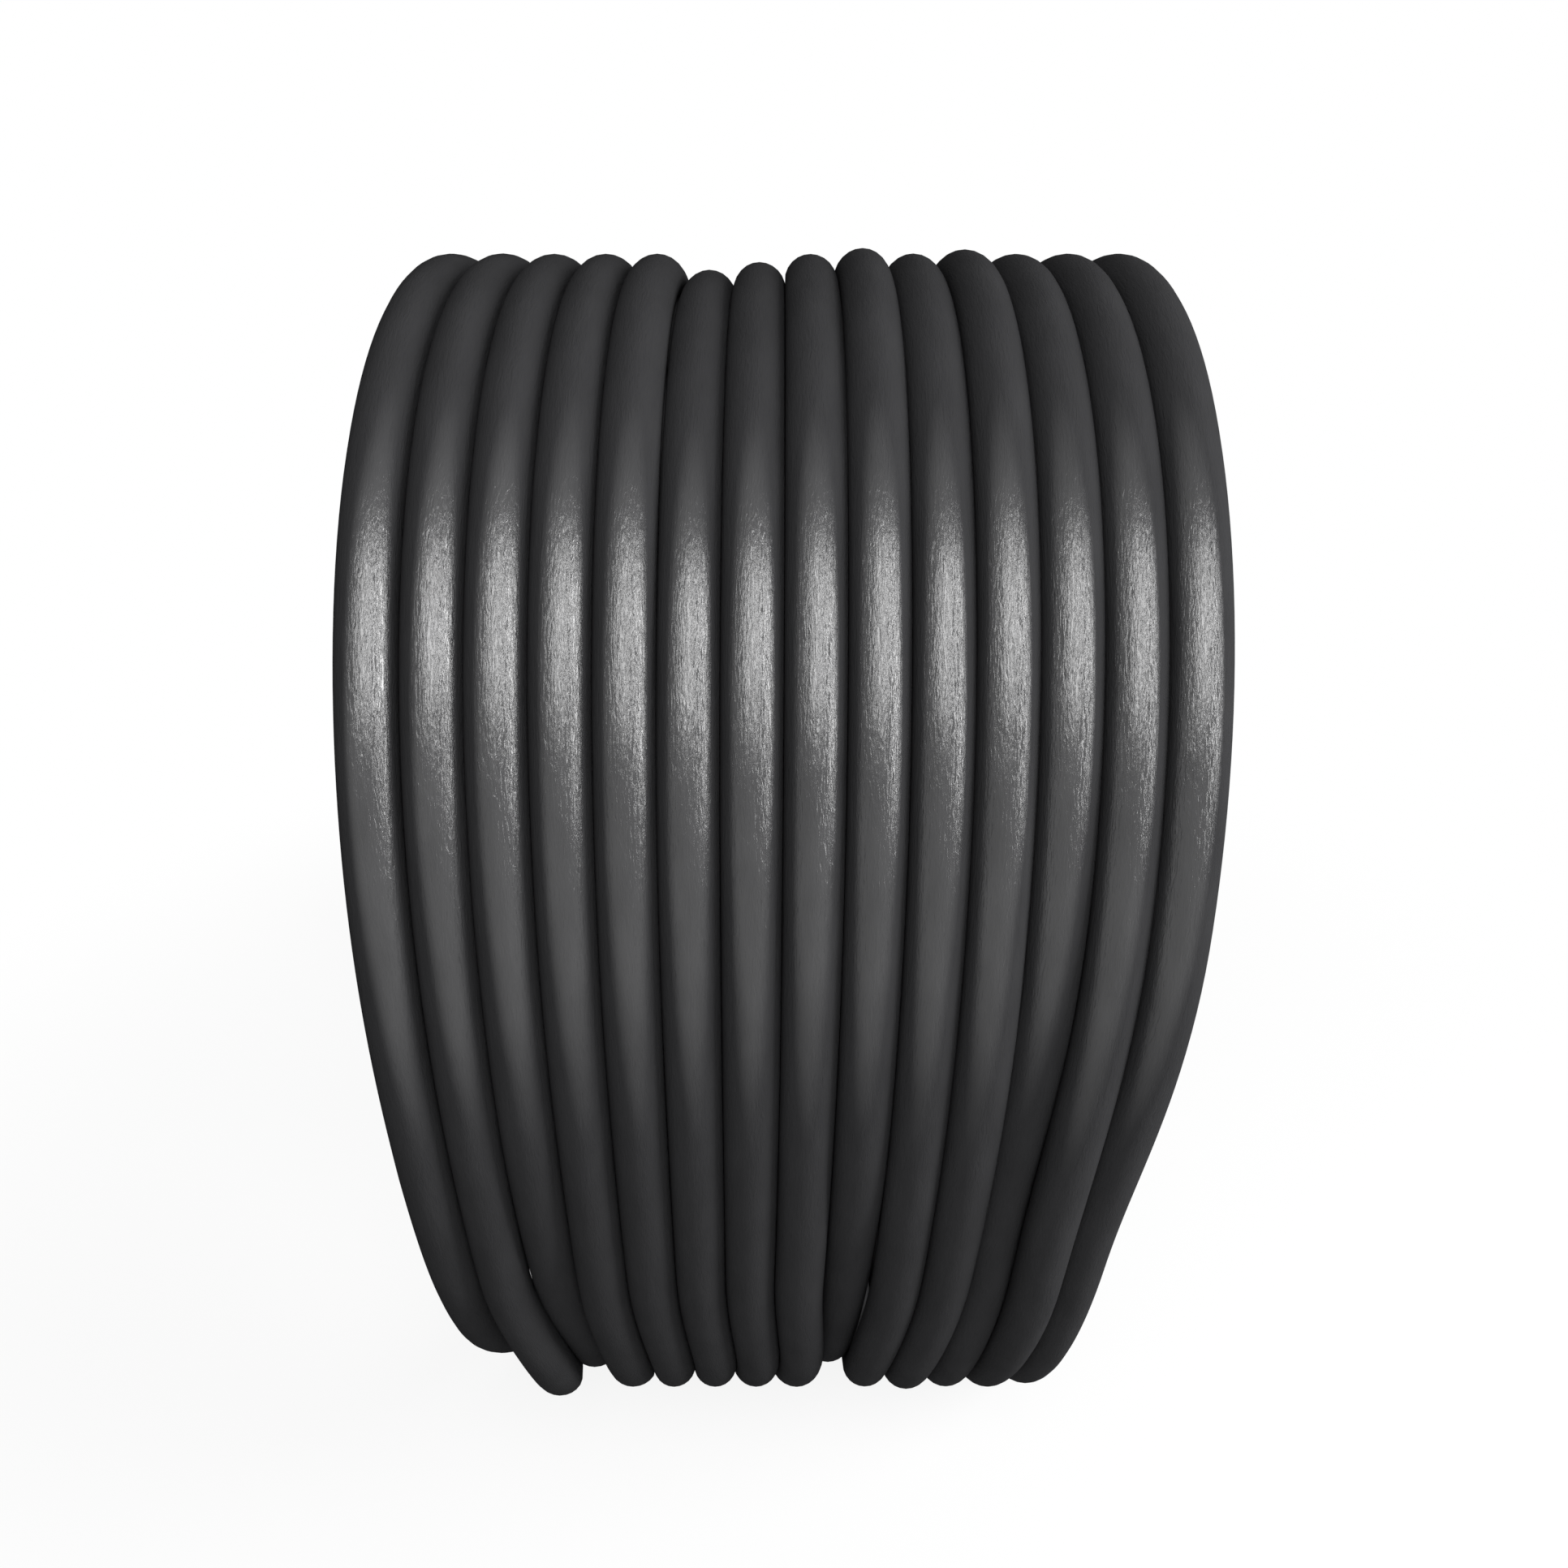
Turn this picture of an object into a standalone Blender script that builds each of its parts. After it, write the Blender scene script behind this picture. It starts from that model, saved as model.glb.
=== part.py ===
"""A soaker hose, coiled for storage, built from separate pieces.

One porous hose is wound in fourteen turns side by side. Its two ends lie inside the coil, on the bed
that the turns make: the inlet with its swivel nut, and the outlet with its screwed end cap. Metres,
+Z up. The coil's axis runs along X, and the front is towards -Y.
"""

import math

import bmesh
import bpy
from mathutils import Matrix, Vector
from mathutils.geometry import interpolate_bezier

# --- hose and coil ---------------------------------------------------------------------------
HOSE_OD = 0.0128  # a 3/8 in bore with a wall of 1.65 mm
HOSE_BORE = 0.0095
TURNS = 14
TURN_GAP = 0.0005  # between one turn and the next
PITCH = HOSE_OD + TURN_GAP
STEPS_PER_TURN = 24
RUN_STEPS = 2  # steps from one place to the next where an end leaves the turns

COIL_RADIUS = 0.1710  # mean radius of the turns' centre line
OVAL = 0.081  # how much the coil is drawn out, as a share of its radius
OVAL_ANGLE = 70.0  # degrees above the front, where its long axis points
LOBE = 0.037  # a threefold unevenness, as a share of the radius
LOBE_ANGLE = 59.0
BACK_FILL = 0.0120  # the back stands out by this much more
BACK_ANGLE = 145.0
BACK_REACH = 55.0
BED_INSET = 0.0087  # how much nearer to the axis than the mean radius the turns lie flat
BED_DROP = COIL_RADIUS - BED_INSET
BED_BLEND = 0.0067  # height over which the round section runs into the flat bed
FLAT_CUT = HOSE_OD / 10  # how much of each turn the ground flattens

START_ANGLE = 0.0  # first and last angle of the regular turns, in degrees
END_ANGLE = 150.0
LANE_SHIFT = 0.195  # places the turns about the middle when seen from the front
WEAVE = 0.2  # share of a pitch that the step sideways keeps for the back
WEAVE_ANGLE = 20.0

# Single turns that stray from the even winding: turn, angle, reach to either side in degrees,
# distance outwards and distance to the right in hose diameters.
STRAYS = (
    (1, 30.0, 55.0, 0.06, -0.01),
    (6, 78.0, 50.0, -0.31, 0.0),
    (7, 78.0, 45.0, -0.16, 0.0),
    (9, 80.0, 45.0, 0.11, 0.0),
    (11, 80.0, 45.0, 0.08, 0.0),
    (2, -42.0, 25.0, 0.25, 0.51),
    (3, -43.0, 50.0, -0.52, 0.0),
    (3, -42.0, 25.0, 0.0, 0.23),
    (4, -42.0, 25.0, 0.0, 0.22),
    (5, -42.0, 25.0, 0.0, 0.22),
    (6, -42.0, 25.0, 0.0, 0.22),
    (7, -42.0, 25.0, 0.0, 0.22),
    (8, -42.0, 25.0, 0.0, 0.22),
    (9, -40.0, 50.0, -0.70, 0.0),
    (10, -42.0, 25.0, 0.0, -0.20),
    (11, -42.0, 25.0, 0.06, -0.20),
    (12, -42.0, 25.0, 0.0, -0.18),
    (12, -6.0, 48.0, -0.47, 0.0),
    (12, -10.0, 34.0, 0.0, -0.09),
    (13, -42.0, 25.0, 0.0, -0.17),
    (13, -8.0, 34.0, 0.08, -0.22),
    (14, -42.0, 25.0, 0.0, -0.16),
    (14, -20.0, 46.0, -0.35, 0.0),
    (14, -10.0, 34.0, 0.0, -0.27),
)

# --- couplings, measured along each coupling's axis from the end of the hose ---------------------
FIT_GAP = 0.0003  # between pieces that touch
THREAD_OD = 0.0266  # 3/4 in garden hose thread

FERRULE_LENGTH = 0.0200
FERRULE_WALL = 0.0016
FERRULE_LIP = 0.0012
CRIMP_DEPTH = 0.0005
TAIL_LENGTH = 0.0180
TAIL_GAP = 0.0002  # between the tail and the hose's bore
TAIL_WALL = 0.00155
STEM_BORE = HOSE_BORE - 2 * TAIL_WALL
NECK_RADIUS = 0.0055
NECK_GAP = 0.0007  # between the neck and the nut that turns on it
MOUTH_SPREAD = 0.0001  # how much the tail widens the mouth of the hose

SOCKET_GAP = 0.0004  # between the male thread and the nut's socket
SOCKET_RADIUS = THREAD_OD / 2 + SOCKET_GAP
GRIP_WALL = 0.0023
GRIP_RADIUS = SOCKET_RADIUS + GRIP_WALL  # nut and cap, over their ribs
GRIP_RIBS = 12
RIB_DEPTH = 0.0008
NUT_START = 0.0022
NUT_END = 0.0220
NUT_BACK = 0.0025
FLANGE_GAP = 0.0021  # between the flange and the nut's socket
FLANGE_RADIUS = SOCKET_RADIUS - FLANGE_GAP
FLANGE_START = NUT_START + NUT_BACK + FIT_GAP
FLANGE_END = FLANGE_START + 0.0032
DISC_RIM = 0.0041  # from the restrictor to the flange's edge
DISC_RADIUS = FLANGE_RADIUS - DISC_RIM
DISC_THICKNESS = 0.0016
DISC_HOLE = 0.0012
SEAL_GAP = 0.0010  # between a washer and the wall round it
WASHER_RADIUS = SOCKET_RADIUS - SEAL_GAP
WASHER_HOLE = 0.0070
WASHER_THICKNESS = 0.0030

MALE_START = 0.0040
MALE_END = 0.0160
COLLAR_START = 0.0020
COLLAR_STEP = 0.0021  # from the collar up to the thread
COLLAR_RADIUS = THREAD_OD / 2 - COLLAR_STEP
MALE_WALL = 0.0048
MALE_BORE = THREAD_OD / 2 - MALE_WALL
CAP_START = 0.0044
CAP_END = 0.0222
CAP_WALL = 0.0026
CAP_WASHER_HOLE = 0.0060

INLET_X = -0.0650
INLET_END_Y = 0.0080  # where the hose ends in its coupling, from the middle of the bed
OUTLET_X = 0.0620
OUTLET_END_Y = -0.0070

# Where each end leaves the regular turns and dives inside: angle, then the distances inwards and
# aside in hose diameters.
INLET_RUN = (
    (-20.0, 0.16, 0.0),
    (-38.0, 0.55, 0.04),
    (-54.0, 1.05, 0.39),
    (-68.0, 1.50, 0.94),
)
OUTLET_RUN = (
    (170.0, 0.23, 0.0),
    (190.0, 0.62, 0.0),
    (208.0, 1.02, -0.16),
    (226.0, 1.17, -0.62),
    (246.0, 1.55, -1.25),
)

SMOOTH_ANGLE = math.radians(35.0)


# --- the shape of the coil -----------------------------------------------------------------------
def hump(distance, reach):
    """1 in the middle, falling smoothly to 0 at reach."""
    if abs(distance) >= reach:
        return 0.0
    return math.cos(math.pi / 2 * distance / reach) ** 2


def section_radius(angle):
    """Centre line's distance from the coil's axis; angle in degrees from the front, upwards."""
    turned = angle % 360.0
    share = 1.0
    share += OVAL * math.cos(math.radians(2 * (turned - OVAL_ANGLE)))
    share += LOBE * math.cos(math.radians(3 * (turned - LOBE_ANGLE)))
    return COIL_RADIUS * share + BACK_FILL * hump(turned - BACK_ANGLE, BACK_REACH)


def settle(height):
    """Height over the axis after the turns have settled on the ground."""
    over = height + BED_DROP
    if over > BED_BLEND:
        return height
    if over < -BED_BLEND:
        return -BED_DROP
    return (over + BED_BLEND) ** 2 / (4 * BED_BLEND) - BED_DROP


def turn_count(turn, angle):
    """How far along the winding a place is, in turns. Turn 1 passes the front at angle 0."""
    return turn - 1 + (angle + 90.0) / 360.0


def coil_point(count, inwards=0.0, aside=0.0):
    """A point of the winding, before the coil is placed about its middle."""
    angle = 360.0 * count - 90.0
    outwards = -inwards
    for turn, at, reach, stray_out, stray_aside in STRAYS:
        share = hump(360.0 * (count - turn_count(turn, at)), reach)
        outwards += stray_out * HOSE_OD * share
        aside += stray_aside * HOSE_OD * share
    radius = section_radius(angle) + outwards
    weave = WEAVE * (1 - math.cos(math.radians(angle - WEAVE_ANGLE)))
    lane = PITCH * (count - TURNS / 2 + LANE_SHIFT - weave)
    across = -radius * math.cos(math.radians(angle))
    height = radius * math.sin(math.radians(angle))
    floor = settle(height - inwards) + inwards
    return Vector((lane + aside, across, floor))


def smooth_through(points, steps):
    """A smooth curve through the given points, with so many steps from each to the next."""
    before = 2 * points[0] - points[1]
    after = 2 * points[-1] - points[-2]
    row = [before, *points, after]
    result = []
    for a, b, c, d in zip(row, row[1:], row[2:], row[3:]):
        for k in range(steps):
            s = k / steps
            bend = (2 * a - 5 * b + 4 * c - d) * s**2 + (3 * b - a - 3 * c + d) * s**3
            result.append(0.5 * (2 * b + (c - a) * s + bend))
    return result + [points[-1]]


def coupling_place(x, end_y):
    """Where a hose end lies, from the coil's axis: the coupling's grip rests on the bed of turns."""
    return Vector((x, end_y, -BED_DROP + HOSE_OD / 2 + FIT_GAP + GRIP_RADIUS))


def end_run(turn, places, x, end_y, direction):
    """Route from the regular turns into a coupling: places are (angle, inwards, aside) on the way,
    in degrees and hose diameters.

    The first place lies in the regular turns and only gives the direction. The last stretch runs
    straight along Y through the ferrule to the end of the hose.
    """
    route = [
        coil_point(turn_count(turn, angle), inwards * HOSE_OD, aside * HOSE_OD)
        for angle, inwards, aside in places
    ]
    run = smooth_through(route, RUN_STEPS)[RUN_STEPS + 1 :]
    along = Vector((0.0, direction, 0.0))
    end = coupling_place(x, end_y)
    straight = end - 1.1 * FERRULE_LENGTH * along
    handle = 0.36 * (straight - run[-1]).length
    heading = (run[-1] - run[-2]).normalized()
    leg = interpolate_bezier(run[-1], run[-1] + handle * heading, straight - handle * along, straight, 4)
    return run + leg[1:] + [end]


def hose_route():
    """The whole centre line about the coil's axis, from the inlet's end to the outlet's end."""
    first = turn_count(1, START_ANGLE)
    last = turn_count(TURNS, END_ANGLE)
    steps = round((last - first) * STEPS_PER_TURN)
    turns = [coil_point(first + (last - first) * i / steps) for i in range(steps + 1)]
    step = 360.0 / STEPS_PER_TURN
    leaving = ((START_ANGLE + step, 0.0, 0.0), (START_ANGLE, 0.0, 0.0), *INLET_RUN)
    inlet = end_run(1, leaving, INLET_X, INLET_END_Y, 1)
    leaving = ((END_ANGLE - step, 0.0, 0.0), (END_ANGLE, 0.0, 0.0), *OUTLET_RUN)
    outlet = end_run(TURNS, leaving, OUTLET_X, OUTLET_END_Y, -1)
    return inlet[::-1] + turns + outlet


def placement(route):
    """Shift that brings the middle of the coil to X = 0 and Y = 0, and the ground to Z = 0."""
    middle = [(min(p[k] for p in route) + max(p[k] for p in route)) / 2 for k in (0, 1)]
    return Vector((-middle[0], -middle[1], BED_DROP + HOSE_OD / 2 - FLAT_CUT))


def least_gap(points):
    """Least free distance between stretches of the hose that aren't neighbours along it."""
    fine = []
    for a, b in zip(points, points[1:]):
        pieces = max(1, round((b - a).length / 0.011))
        fine += [a.lerp(b, k / pieces) for k in range(pieces)]
    fine.append(points[-1])
    along = [0.0]
    for a, b in zip(fine, fine[1:]):
        along.append(along[-1] + (b - a).length)
    least = 1.0
    for i, a in enumerate(fine):
        for j in range(i + 1, len(fine) - 1):
            if along[j] - along[i] < 0.1:
                continue
            b, c = fine[j], fine[j + 1]
            if abs(b.x - a.x) > 0.05 or abs(b.y - a.y) > 0.05:
                continue
            run = c - b
            share = min(1.0, max(0.0, (a - b).dot(run) / run.length_squared))
            least = min(least, (a - b - run * share).length - HOSE_OD)
    return least


# --- building blocks -----------------------------------------------------------------------------
def clear_scene():
    for old in list(bpy.data.objects):
        bpy.data.objects.remove(old, do_unlink=True)
    for old in list(bpy.data.collections):
        bpy.data.collections.remove(old)


def new_collection(name):
    collection = bpy.data.collections.new(name)
    bpy.context.scene.collection.children.link(collection)
    return collection


def material(name, colour, roughness, metallic=0.0):
    made = bpy.data.materials.new(name)
    made.use_nodes = True
    shader = made.node_tree.nodes["Principled BSDF"]
    shader.inputs["Base Color"].default_value = (*colour, 1.0)
    shader.inputs["Roughness"].default_value = roughness
    shader.inputs["Metallic"].default_value = metallic
    return made


def add_object(name, mesh, collection, finish=None):
    made = bpy.data.objects.new(name, mesh)
    collection.objects.link(made)
    if finish:
        mesh.materials.append(finish)
    return made


def as_cutter(cutter):
    cutter.hide_render = True
    cutter.display_type = "WIRE"
    return cutter


def mesh_of(line):
    """The mesh of a curve object, with its seams closed and its faces turned outwards."""
    bpy.context.view_layer.update()
    seen = line.evaluated_get(bpy.context.evaluated_depsgraph_get())
    mesh = bpy.data.meshes.new_from_object(seen)
    shape = bmesh.new()
    shape.from_mesh(mesh)
    bmesh.ops.remove_doubles(shape, verts=shape.verts, dist=0.00001)
    bmesh.ops.recalc_face_normals(shape, faces=shape.faces)
    shape.to_mesh(mesh)
    shape.free()
    return mesh


def tube(name, points, radius, resolution, collection, finish=None):
    """A closed tube along points, made as a curve and turned into a mesh for cutting."""
    curve = bpy.data.curves.new(name + "_line", "CURVE")
    curve.dimensions = "3D"
    curve.bevel_depth = radius
    curve.bevel_resolution = resolution
    curve.use_fill_caps = True
    spline = curve.splines.new("POLY")
    spline.points.add(len(points) - 1)
    for place, point in zip(spline.points, points):
        place.co = (*point, 1.0)
    line = bpy.data.objects.new(name + "_line", curve)
    collection.objects.link(line)
    mesh = mesh_of(line)
    bpy.data.objects.remove(line, do_unlink=True)
    return add_object(name, mesh, collection, finish)


def turned(name, profile, collection, finish, steps=32):
    """A turned piece about its own Z, from a closed profile of (radius, place) points."""
    mesh = bpy.data.meshes.new(name)
    count = len(profile)
    points = [(radius, 0.0, place) for radius, place in profile]
    edges = [(i, (i + 1) % count) for i in range(count)]
    mesh.from_pydata(points, edges, [])
    made = add_object(name, mesh, collection, finish)
    screw = made.modifiers.new("turn", "SCREW")
    screw.steps = steps
    screw.render_steps = steps
    screw.use_merge_vertices = True
    screw.merge_threshold = 0.00001
    return made


def ribbed_barrel(name, start, end, collection, finish):
    """A short barrel with rounded ribs along it, about its own Z."""
    per_rib = 6
    count = GRIP_RIBS * per_rib
    curve = bpy.data.curves.new(name + "_outline", "CURVE")
    curve.dimensions = "2D"
    curve.fill_mode = "BOTH"
    curve.extrude = (end - start) / 2
    spline = curve.splines.new("POLY")
    spline.points.add(count - 1)
    spline.use_cyclic_u = True
    for i, place in enumerate(spline.points):
        angle = math.tau * i / count
        radius = GRIP_RADIUS - RIB_DEPTH * (0.5 - 0.5 * math.cos(GRIP_RIBS * angle))
        place.co = (radius * math.cos(angle), radius * math.sin(angle), 0.0, 1.0)
    outline = bpy.data.objects.new(name + "_outline", curve)
    collection.objects.link(outline)
    mesh = mesh_of(outline)
    mesh.transform(Matrix.Translation((0, 0, (start + end) / 2)))
    bpy.data.objects.remove(outline, do_unlink=True)
    return add_object(name, mesh, collection, finish)


def cut(piece, cutter):
    modifier = piece.modifiers.new("cut", "BOOLEAN")
    modifier.operation = "DIFFERENCE"
    modifier.solver = "EXACT"
    modifier.object = cutter


def smooth(piece):
    piece.data.shade_smooth()
    piece.data.set_sharp_from_angle(angle=SMOOTH_ANGLE)


def on_coupling(piece, holder):
    """Puts a piece on a coupling's axis, by parenting it to the coupling's empty."""
    piece.parent = holder
    smooth(piece)
    return piece


def coupling_empty(name, place, direction, collection):
    """An empty at the end of the hose, whose Z points out of the coupling along the hose."""
    holder = bpy.data.objects.new(name, None)
    holder.empty_display_size = 0.02
    holder.location = place
    holder.rotation_euler = (math.radians(-90.0 * direction), 0.0, 0.0)
    collection.objects.link(holder)
    return holder


# --- the pieces ----------------------------------------------------------------------------------
def make_hose(route, parts, cutters, finish, couplings):
    length = sum((b - a).length for a, b in zip(route, route[1:]))
    print("hose: %.2f m on %d points" % (length, len(route)))
    print("least gap to itself %.2f mm" % (1000 * least_gap(route)))
    hose = tube("hose", route, HOSE_OD / 2, 1, parts, finish)
    past = 0.005
    start = route[0] + (route[0] - route[1]).normalized() * past
    end = route[-1] + (route[-1] - route[-2]).normalized() * past
    bore = as_cutter(tube("hose_bore", [start] + route + [end], HOSE_BORE / 2, 0, cutters))
    cut(hose, bore)
    for holder in couplings:
        mouth = turned(holder.name + "_mouth", mouth_profile(), cutters, None, 24)
        mouth.parent = holder
        cut(hose, as_cutter(mouth))
    cut(hose, as_cutter(ground_block(cutters)))
    smooth(hose)
    return hose


def ground_block(collection):
    """The ground under the coil, as a block whose top is at Z = 0."""
    shape = bmesh.new()
    bmesh.ops.create_cube(shape, size=1.0)
    mesh = bpy.data.meshes.new("ground")
    shape.to_mesh(mesh)
    shape.free()
    ground = add_object("ground", mesh, collection)
    ground.scale = (0.6, 0.6, 0.02)
    ground.location = (0.0, 0.0, -0.01)
    return ground


def mouth_profile():
    """The round mouth of the hose, spread over the stem's tail."""
    radius = HOSE_BORE / 2 + MOUTH_SPREAD
    return ((0.0, 0.003), (radius, 0.003), (radius, -TAIL_LENGTH - 0.001), (0.0, -TAIL_LENGTH - 0.001))


def make_ferrule(name, holder, parts, finish):
    """A sleeve crimped round the hose in two rings, with a lip in front of the hose's end."""
    inner = HOSE_OD / 2 + FIT_GAP
    outer = inner + FERRULE_WALL
    waist = outer - CRIMP_DEPTH
    lip = NECK_RADIUS + FIT_GAP
    back = FIT_GAP - FERRULE_LENGTH
    profile = [(outer - 0.0004, FIT_GAP + FERRULE_LIP), (outer, FIT_GAP + FERRULE_LIP - 0.0004)]
    for middle in (-0.0060, -0.0130):
        profile += [(outer, middle + 0.0016), (waist, middle + 0.0008)]
        profile += [(waist, middle - 0.0008), (outer, middle - 0.0016)]
    profile += [(outer, back), (inner, back), (inner, FIT_GAP)]
    profile += [(lip, FIT_GAP), (lip, FIT_GAP + FERRULE_LIP)]
    return on_coupling(turned(name, profile, parts, finish), holder)


def tail_profile():
    """The barbed tail that goes into the hose, from its tip up to the neck's foot."""
    full = HOSE_BORE / 2 - TAIL_GAP
    thin = full - 0.0005
    points = [(full, FIT_GAP)]
    barbs = 3
    step = TAIL_LENGTH / (barbs + 1)
    for i in range(1, barbs + 1):
        points += [(full, -i * step + 0.0003), (thin, -i * step)]
    points.append((thin, -TAIL_LENGTH))
    return points


def make_inlet_stem(holder, parts, finish):
    bore = STEM_BORE / 2
    seat = FLANGE_END - DISC_THICKNESS - FIT_GAP
    recess = DISC_RADIUS + FIT_GAP
    profile = [(recess, FLANGE_END), (FLANGE_RADIUS, FLANGE_END), (FLANGE_RADIUS, FLANGE_START)]
    profile += [(NECK_RADIUS, FLANGE_START), (NECK_RADIUS, FIT_GAP)]
    profile += tail_profile()
    profile += [(bore, -TAIL_LENGTH), (bore, seat), (recess, seat)]
    return on_coupling(turned("inlet_stem", profile, parts, finish), holder)


def make_outlet_stem(holder, parts, finish):
    bore = STEM_BORE / 2
    thread = THREAD_OD / 2
    profile = [(MALE_BORE, MALE_END), (thread - 0.0010, MALE_END), (thread, MALE_END - 0.0010)]
    profile += [(thread, MALE_START + 0.0010), (COLLAR_RADIUS, MALE_START + 0.0010)]
    profile += [(COLLAR_RADIUS, COLLAR_START), (NECK_RADIUS, COLLAR_START), (NECK_RADIUS, FIT_GAP)]
    profile += tail_profile()
    profile += [(bore, -TAIL_LENGTH), (bore, MALE_START + 0.0015), (MALE_BORE, MALE_START + 0.0030)]
    return on_coupling(turned("outlet_stem", profile, parts, finish), holder)


def make_inlet_nut(holder, parts, cutters, finish):
    """A swivel nut: a ribbed barrel, open in front, whose back wall holds the stem's flange."""
    nut = ribbed_barrel("inlet_nut", NUT_START, NUT_END, parts, finish)
    neck_hole = NECK_RADIUS + NECK_GAP
    wall = NUT_START + NUT_BACK
    profile = ((0.0, NUT_END + 0.002), (SOCKET_RADIUS, NUT_END + 0.002), (SOCKET_RADIUS, wall))
    profile += ((neck_hole, wall), (neck_hole, NUT_START - 0.002), (0.0, NUT_START - 0.002))
    socket = turned("nut_socket", profile, cutters, None)
    socket.parent = holder
    cut(nut, as_cutter(socket))
    return on_coupling(nut, holder)


def make_end_cap(holder, parts, cutters, finish):
    """A cap over the male thread: a ribbed barrel, closed in front."""
    cap = ribbed_barrel("end_cap", CAP_START, CAP_END, parts, finish)
    inside = THREAD_OD / 2 + FIT_GAP
    profile = ((0.0, CAP_END - CAP_WALL), (inside, CAP_END - CAP_WALL))
    profile += ((inside, CAP_START - 0.002), (0.0, CAP_START - 0.002))
    hollow = turned("cap_hollow", profile, cutters, None)
    hollow.parent = holder
    cut(cap, as_cutter(hollow))
    return on_coupling(cap, holder)


def ring_profile(radius, hole, start, thickness):
    end = start + thickness
    return ((hole, end), (radius, end), (radius, start), (hole, start))


def make_rings(inlet, outlet, parts, rubber, plastic):
    start = FLANGE_END - DISC_THICKNESS
    disc = ring_profile(DISC_RADIUS, DISC_HOLE, start, DISC_THICKNESS)
    on_coupling(turned("flow_restrictor", disc, parts, plastic), inlet)
    washer = ring_profile(WASHER_RADIUS, WASHER_HOLE, FLANGE_END + FIT_GAP, WASHER_THICKNESS)
    on_coupling(turned("inlet_washer", washer, parts, rubber), inlet)
    thickness = CAP_END - CAP_WALL - FIT_GAP - MALE_END - FIT_GAP
    seal = ring_profile(WASHER_RADIUS, CAP_WASHER_HOLE, MALE_END + FIT_GAP, thickness)
    on_coupling(turned("cap_washer", seal, parts, rubber), outlet)


def main():
    clear_scene()
    parts = new_collection("soaker_hose")
    cutters = new_collection("soaker_hose_cutters")
    porous = material("porous_rubber", (0.045, 0.045, 0.047), 0.42)
    brass = material("brass", (0.60, 0.44, 0.20), 0.35, 1.0)
    sleeve = material("brass_sleeve", (0.62, 0.47, 0.23), 0.30, 1.0)
    plastic = material("black_plastic", (0.03, 0.03, 0.03), 0.45)
    rubber = material("washer_rubber", (0.05, 0.05, 0.05), 0.70)
    disc = material("white_plastic", (0.75, 0.75, 0.72), 0.50)

    route = hose_route()
    shift = placement(route)
    route = [point + shift for point in route]
    inlet = coupling_empty("inlet", route[0], 1, parts)
    outlet = coupling_empty("outlet", route[-1], -1, parts)
    make_hose(route, parts, cutters, porous, (inlet, outlet))
    make_ferrule("inlet_ferrule", inlet, parts, sleeve)
    make_ferrule("outlet_ferrule", outlet, parts, sleeve)
    make_inlet_stem(inlet, parts, brass)
    make_inlet_nut(inlet, parts, cutters, brass)
    make_outlet_stem(outlet, parts, brass)
    make_end_cap(outlet, parts, cutters, plastic)
    make_rings(inlet, outlet, parts, rubber, disc)


main()
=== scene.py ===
"""A porous soaker hose coiled for storage, with its garden hose couplings, on a pale floor.

The hose is one tube carried along the winding. The couplings are turned pieces whose ribs, crimps
and threads are reliefs on the turned surface. Metres, +Z up. The coil's axis runs along X and the
front is towards -Y.
"""

import math

import bmesh
import bpy
import numpy as np
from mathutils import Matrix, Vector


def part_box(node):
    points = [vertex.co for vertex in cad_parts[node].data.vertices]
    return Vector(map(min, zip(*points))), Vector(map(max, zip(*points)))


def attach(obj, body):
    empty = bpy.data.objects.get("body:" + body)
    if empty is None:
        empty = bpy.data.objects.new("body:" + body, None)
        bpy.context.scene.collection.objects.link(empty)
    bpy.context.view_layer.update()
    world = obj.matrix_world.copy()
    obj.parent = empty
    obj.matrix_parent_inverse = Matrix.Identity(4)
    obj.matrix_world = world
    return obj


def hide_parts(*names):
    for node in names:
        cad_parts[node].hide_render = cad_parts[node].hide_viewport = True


bl_info = {
    "name": "Coiled soaker hose",
    "version": (1, 0, 0),
    "blender": (4, 5, 0),
    "location": "View3D > Sidebar > Soaker Hose",
    "description": "Builds a coiled porous hose with a swivel inlet and a screwed end cap",
    "category": "Add Mesh",
}

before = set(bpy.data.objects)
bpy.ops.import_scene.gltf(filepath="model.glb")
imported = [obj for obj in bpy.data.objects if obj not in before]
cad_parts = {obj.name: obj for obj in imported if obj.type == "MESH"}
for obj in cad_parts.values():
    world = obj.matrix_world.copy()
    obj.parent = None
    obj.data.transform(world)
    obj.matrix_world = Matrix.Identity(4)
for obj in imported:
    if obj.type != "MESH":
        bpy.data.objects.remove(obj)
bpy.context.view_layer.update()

# --- hose and coil -------------------------------------------------------------------------------
HOSE_OD = 0.0128  # a 3/8 in bore with a wall of 1.65 mm
HOSE_BORE = 0.0095
TURNS = 14
TURN_GAP = 0.0005  # between one turn and the next
PITCH = HOSE_OD + TURN_GAP
FINE_STEPS = 720 * TURNS  # points along the regular turns
STEPS_PER_TURN = 24  # an end run's curve begins one such step inside the regular turns
HEADING_STEPS = 2  # points from one place of an end run to the next, for the way that it heads
RUN_STEPS = 16  # and for its line
LEG_STEPS = 40  # points of the curve that leads from there to the coupling
LEG_HANDLE = 0.36  # length of that curve's two handles, as a share of its span
STRAIGHT_SHARE = 1.1  # straight stretch before each coupling, in ferrule lengths

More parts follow.
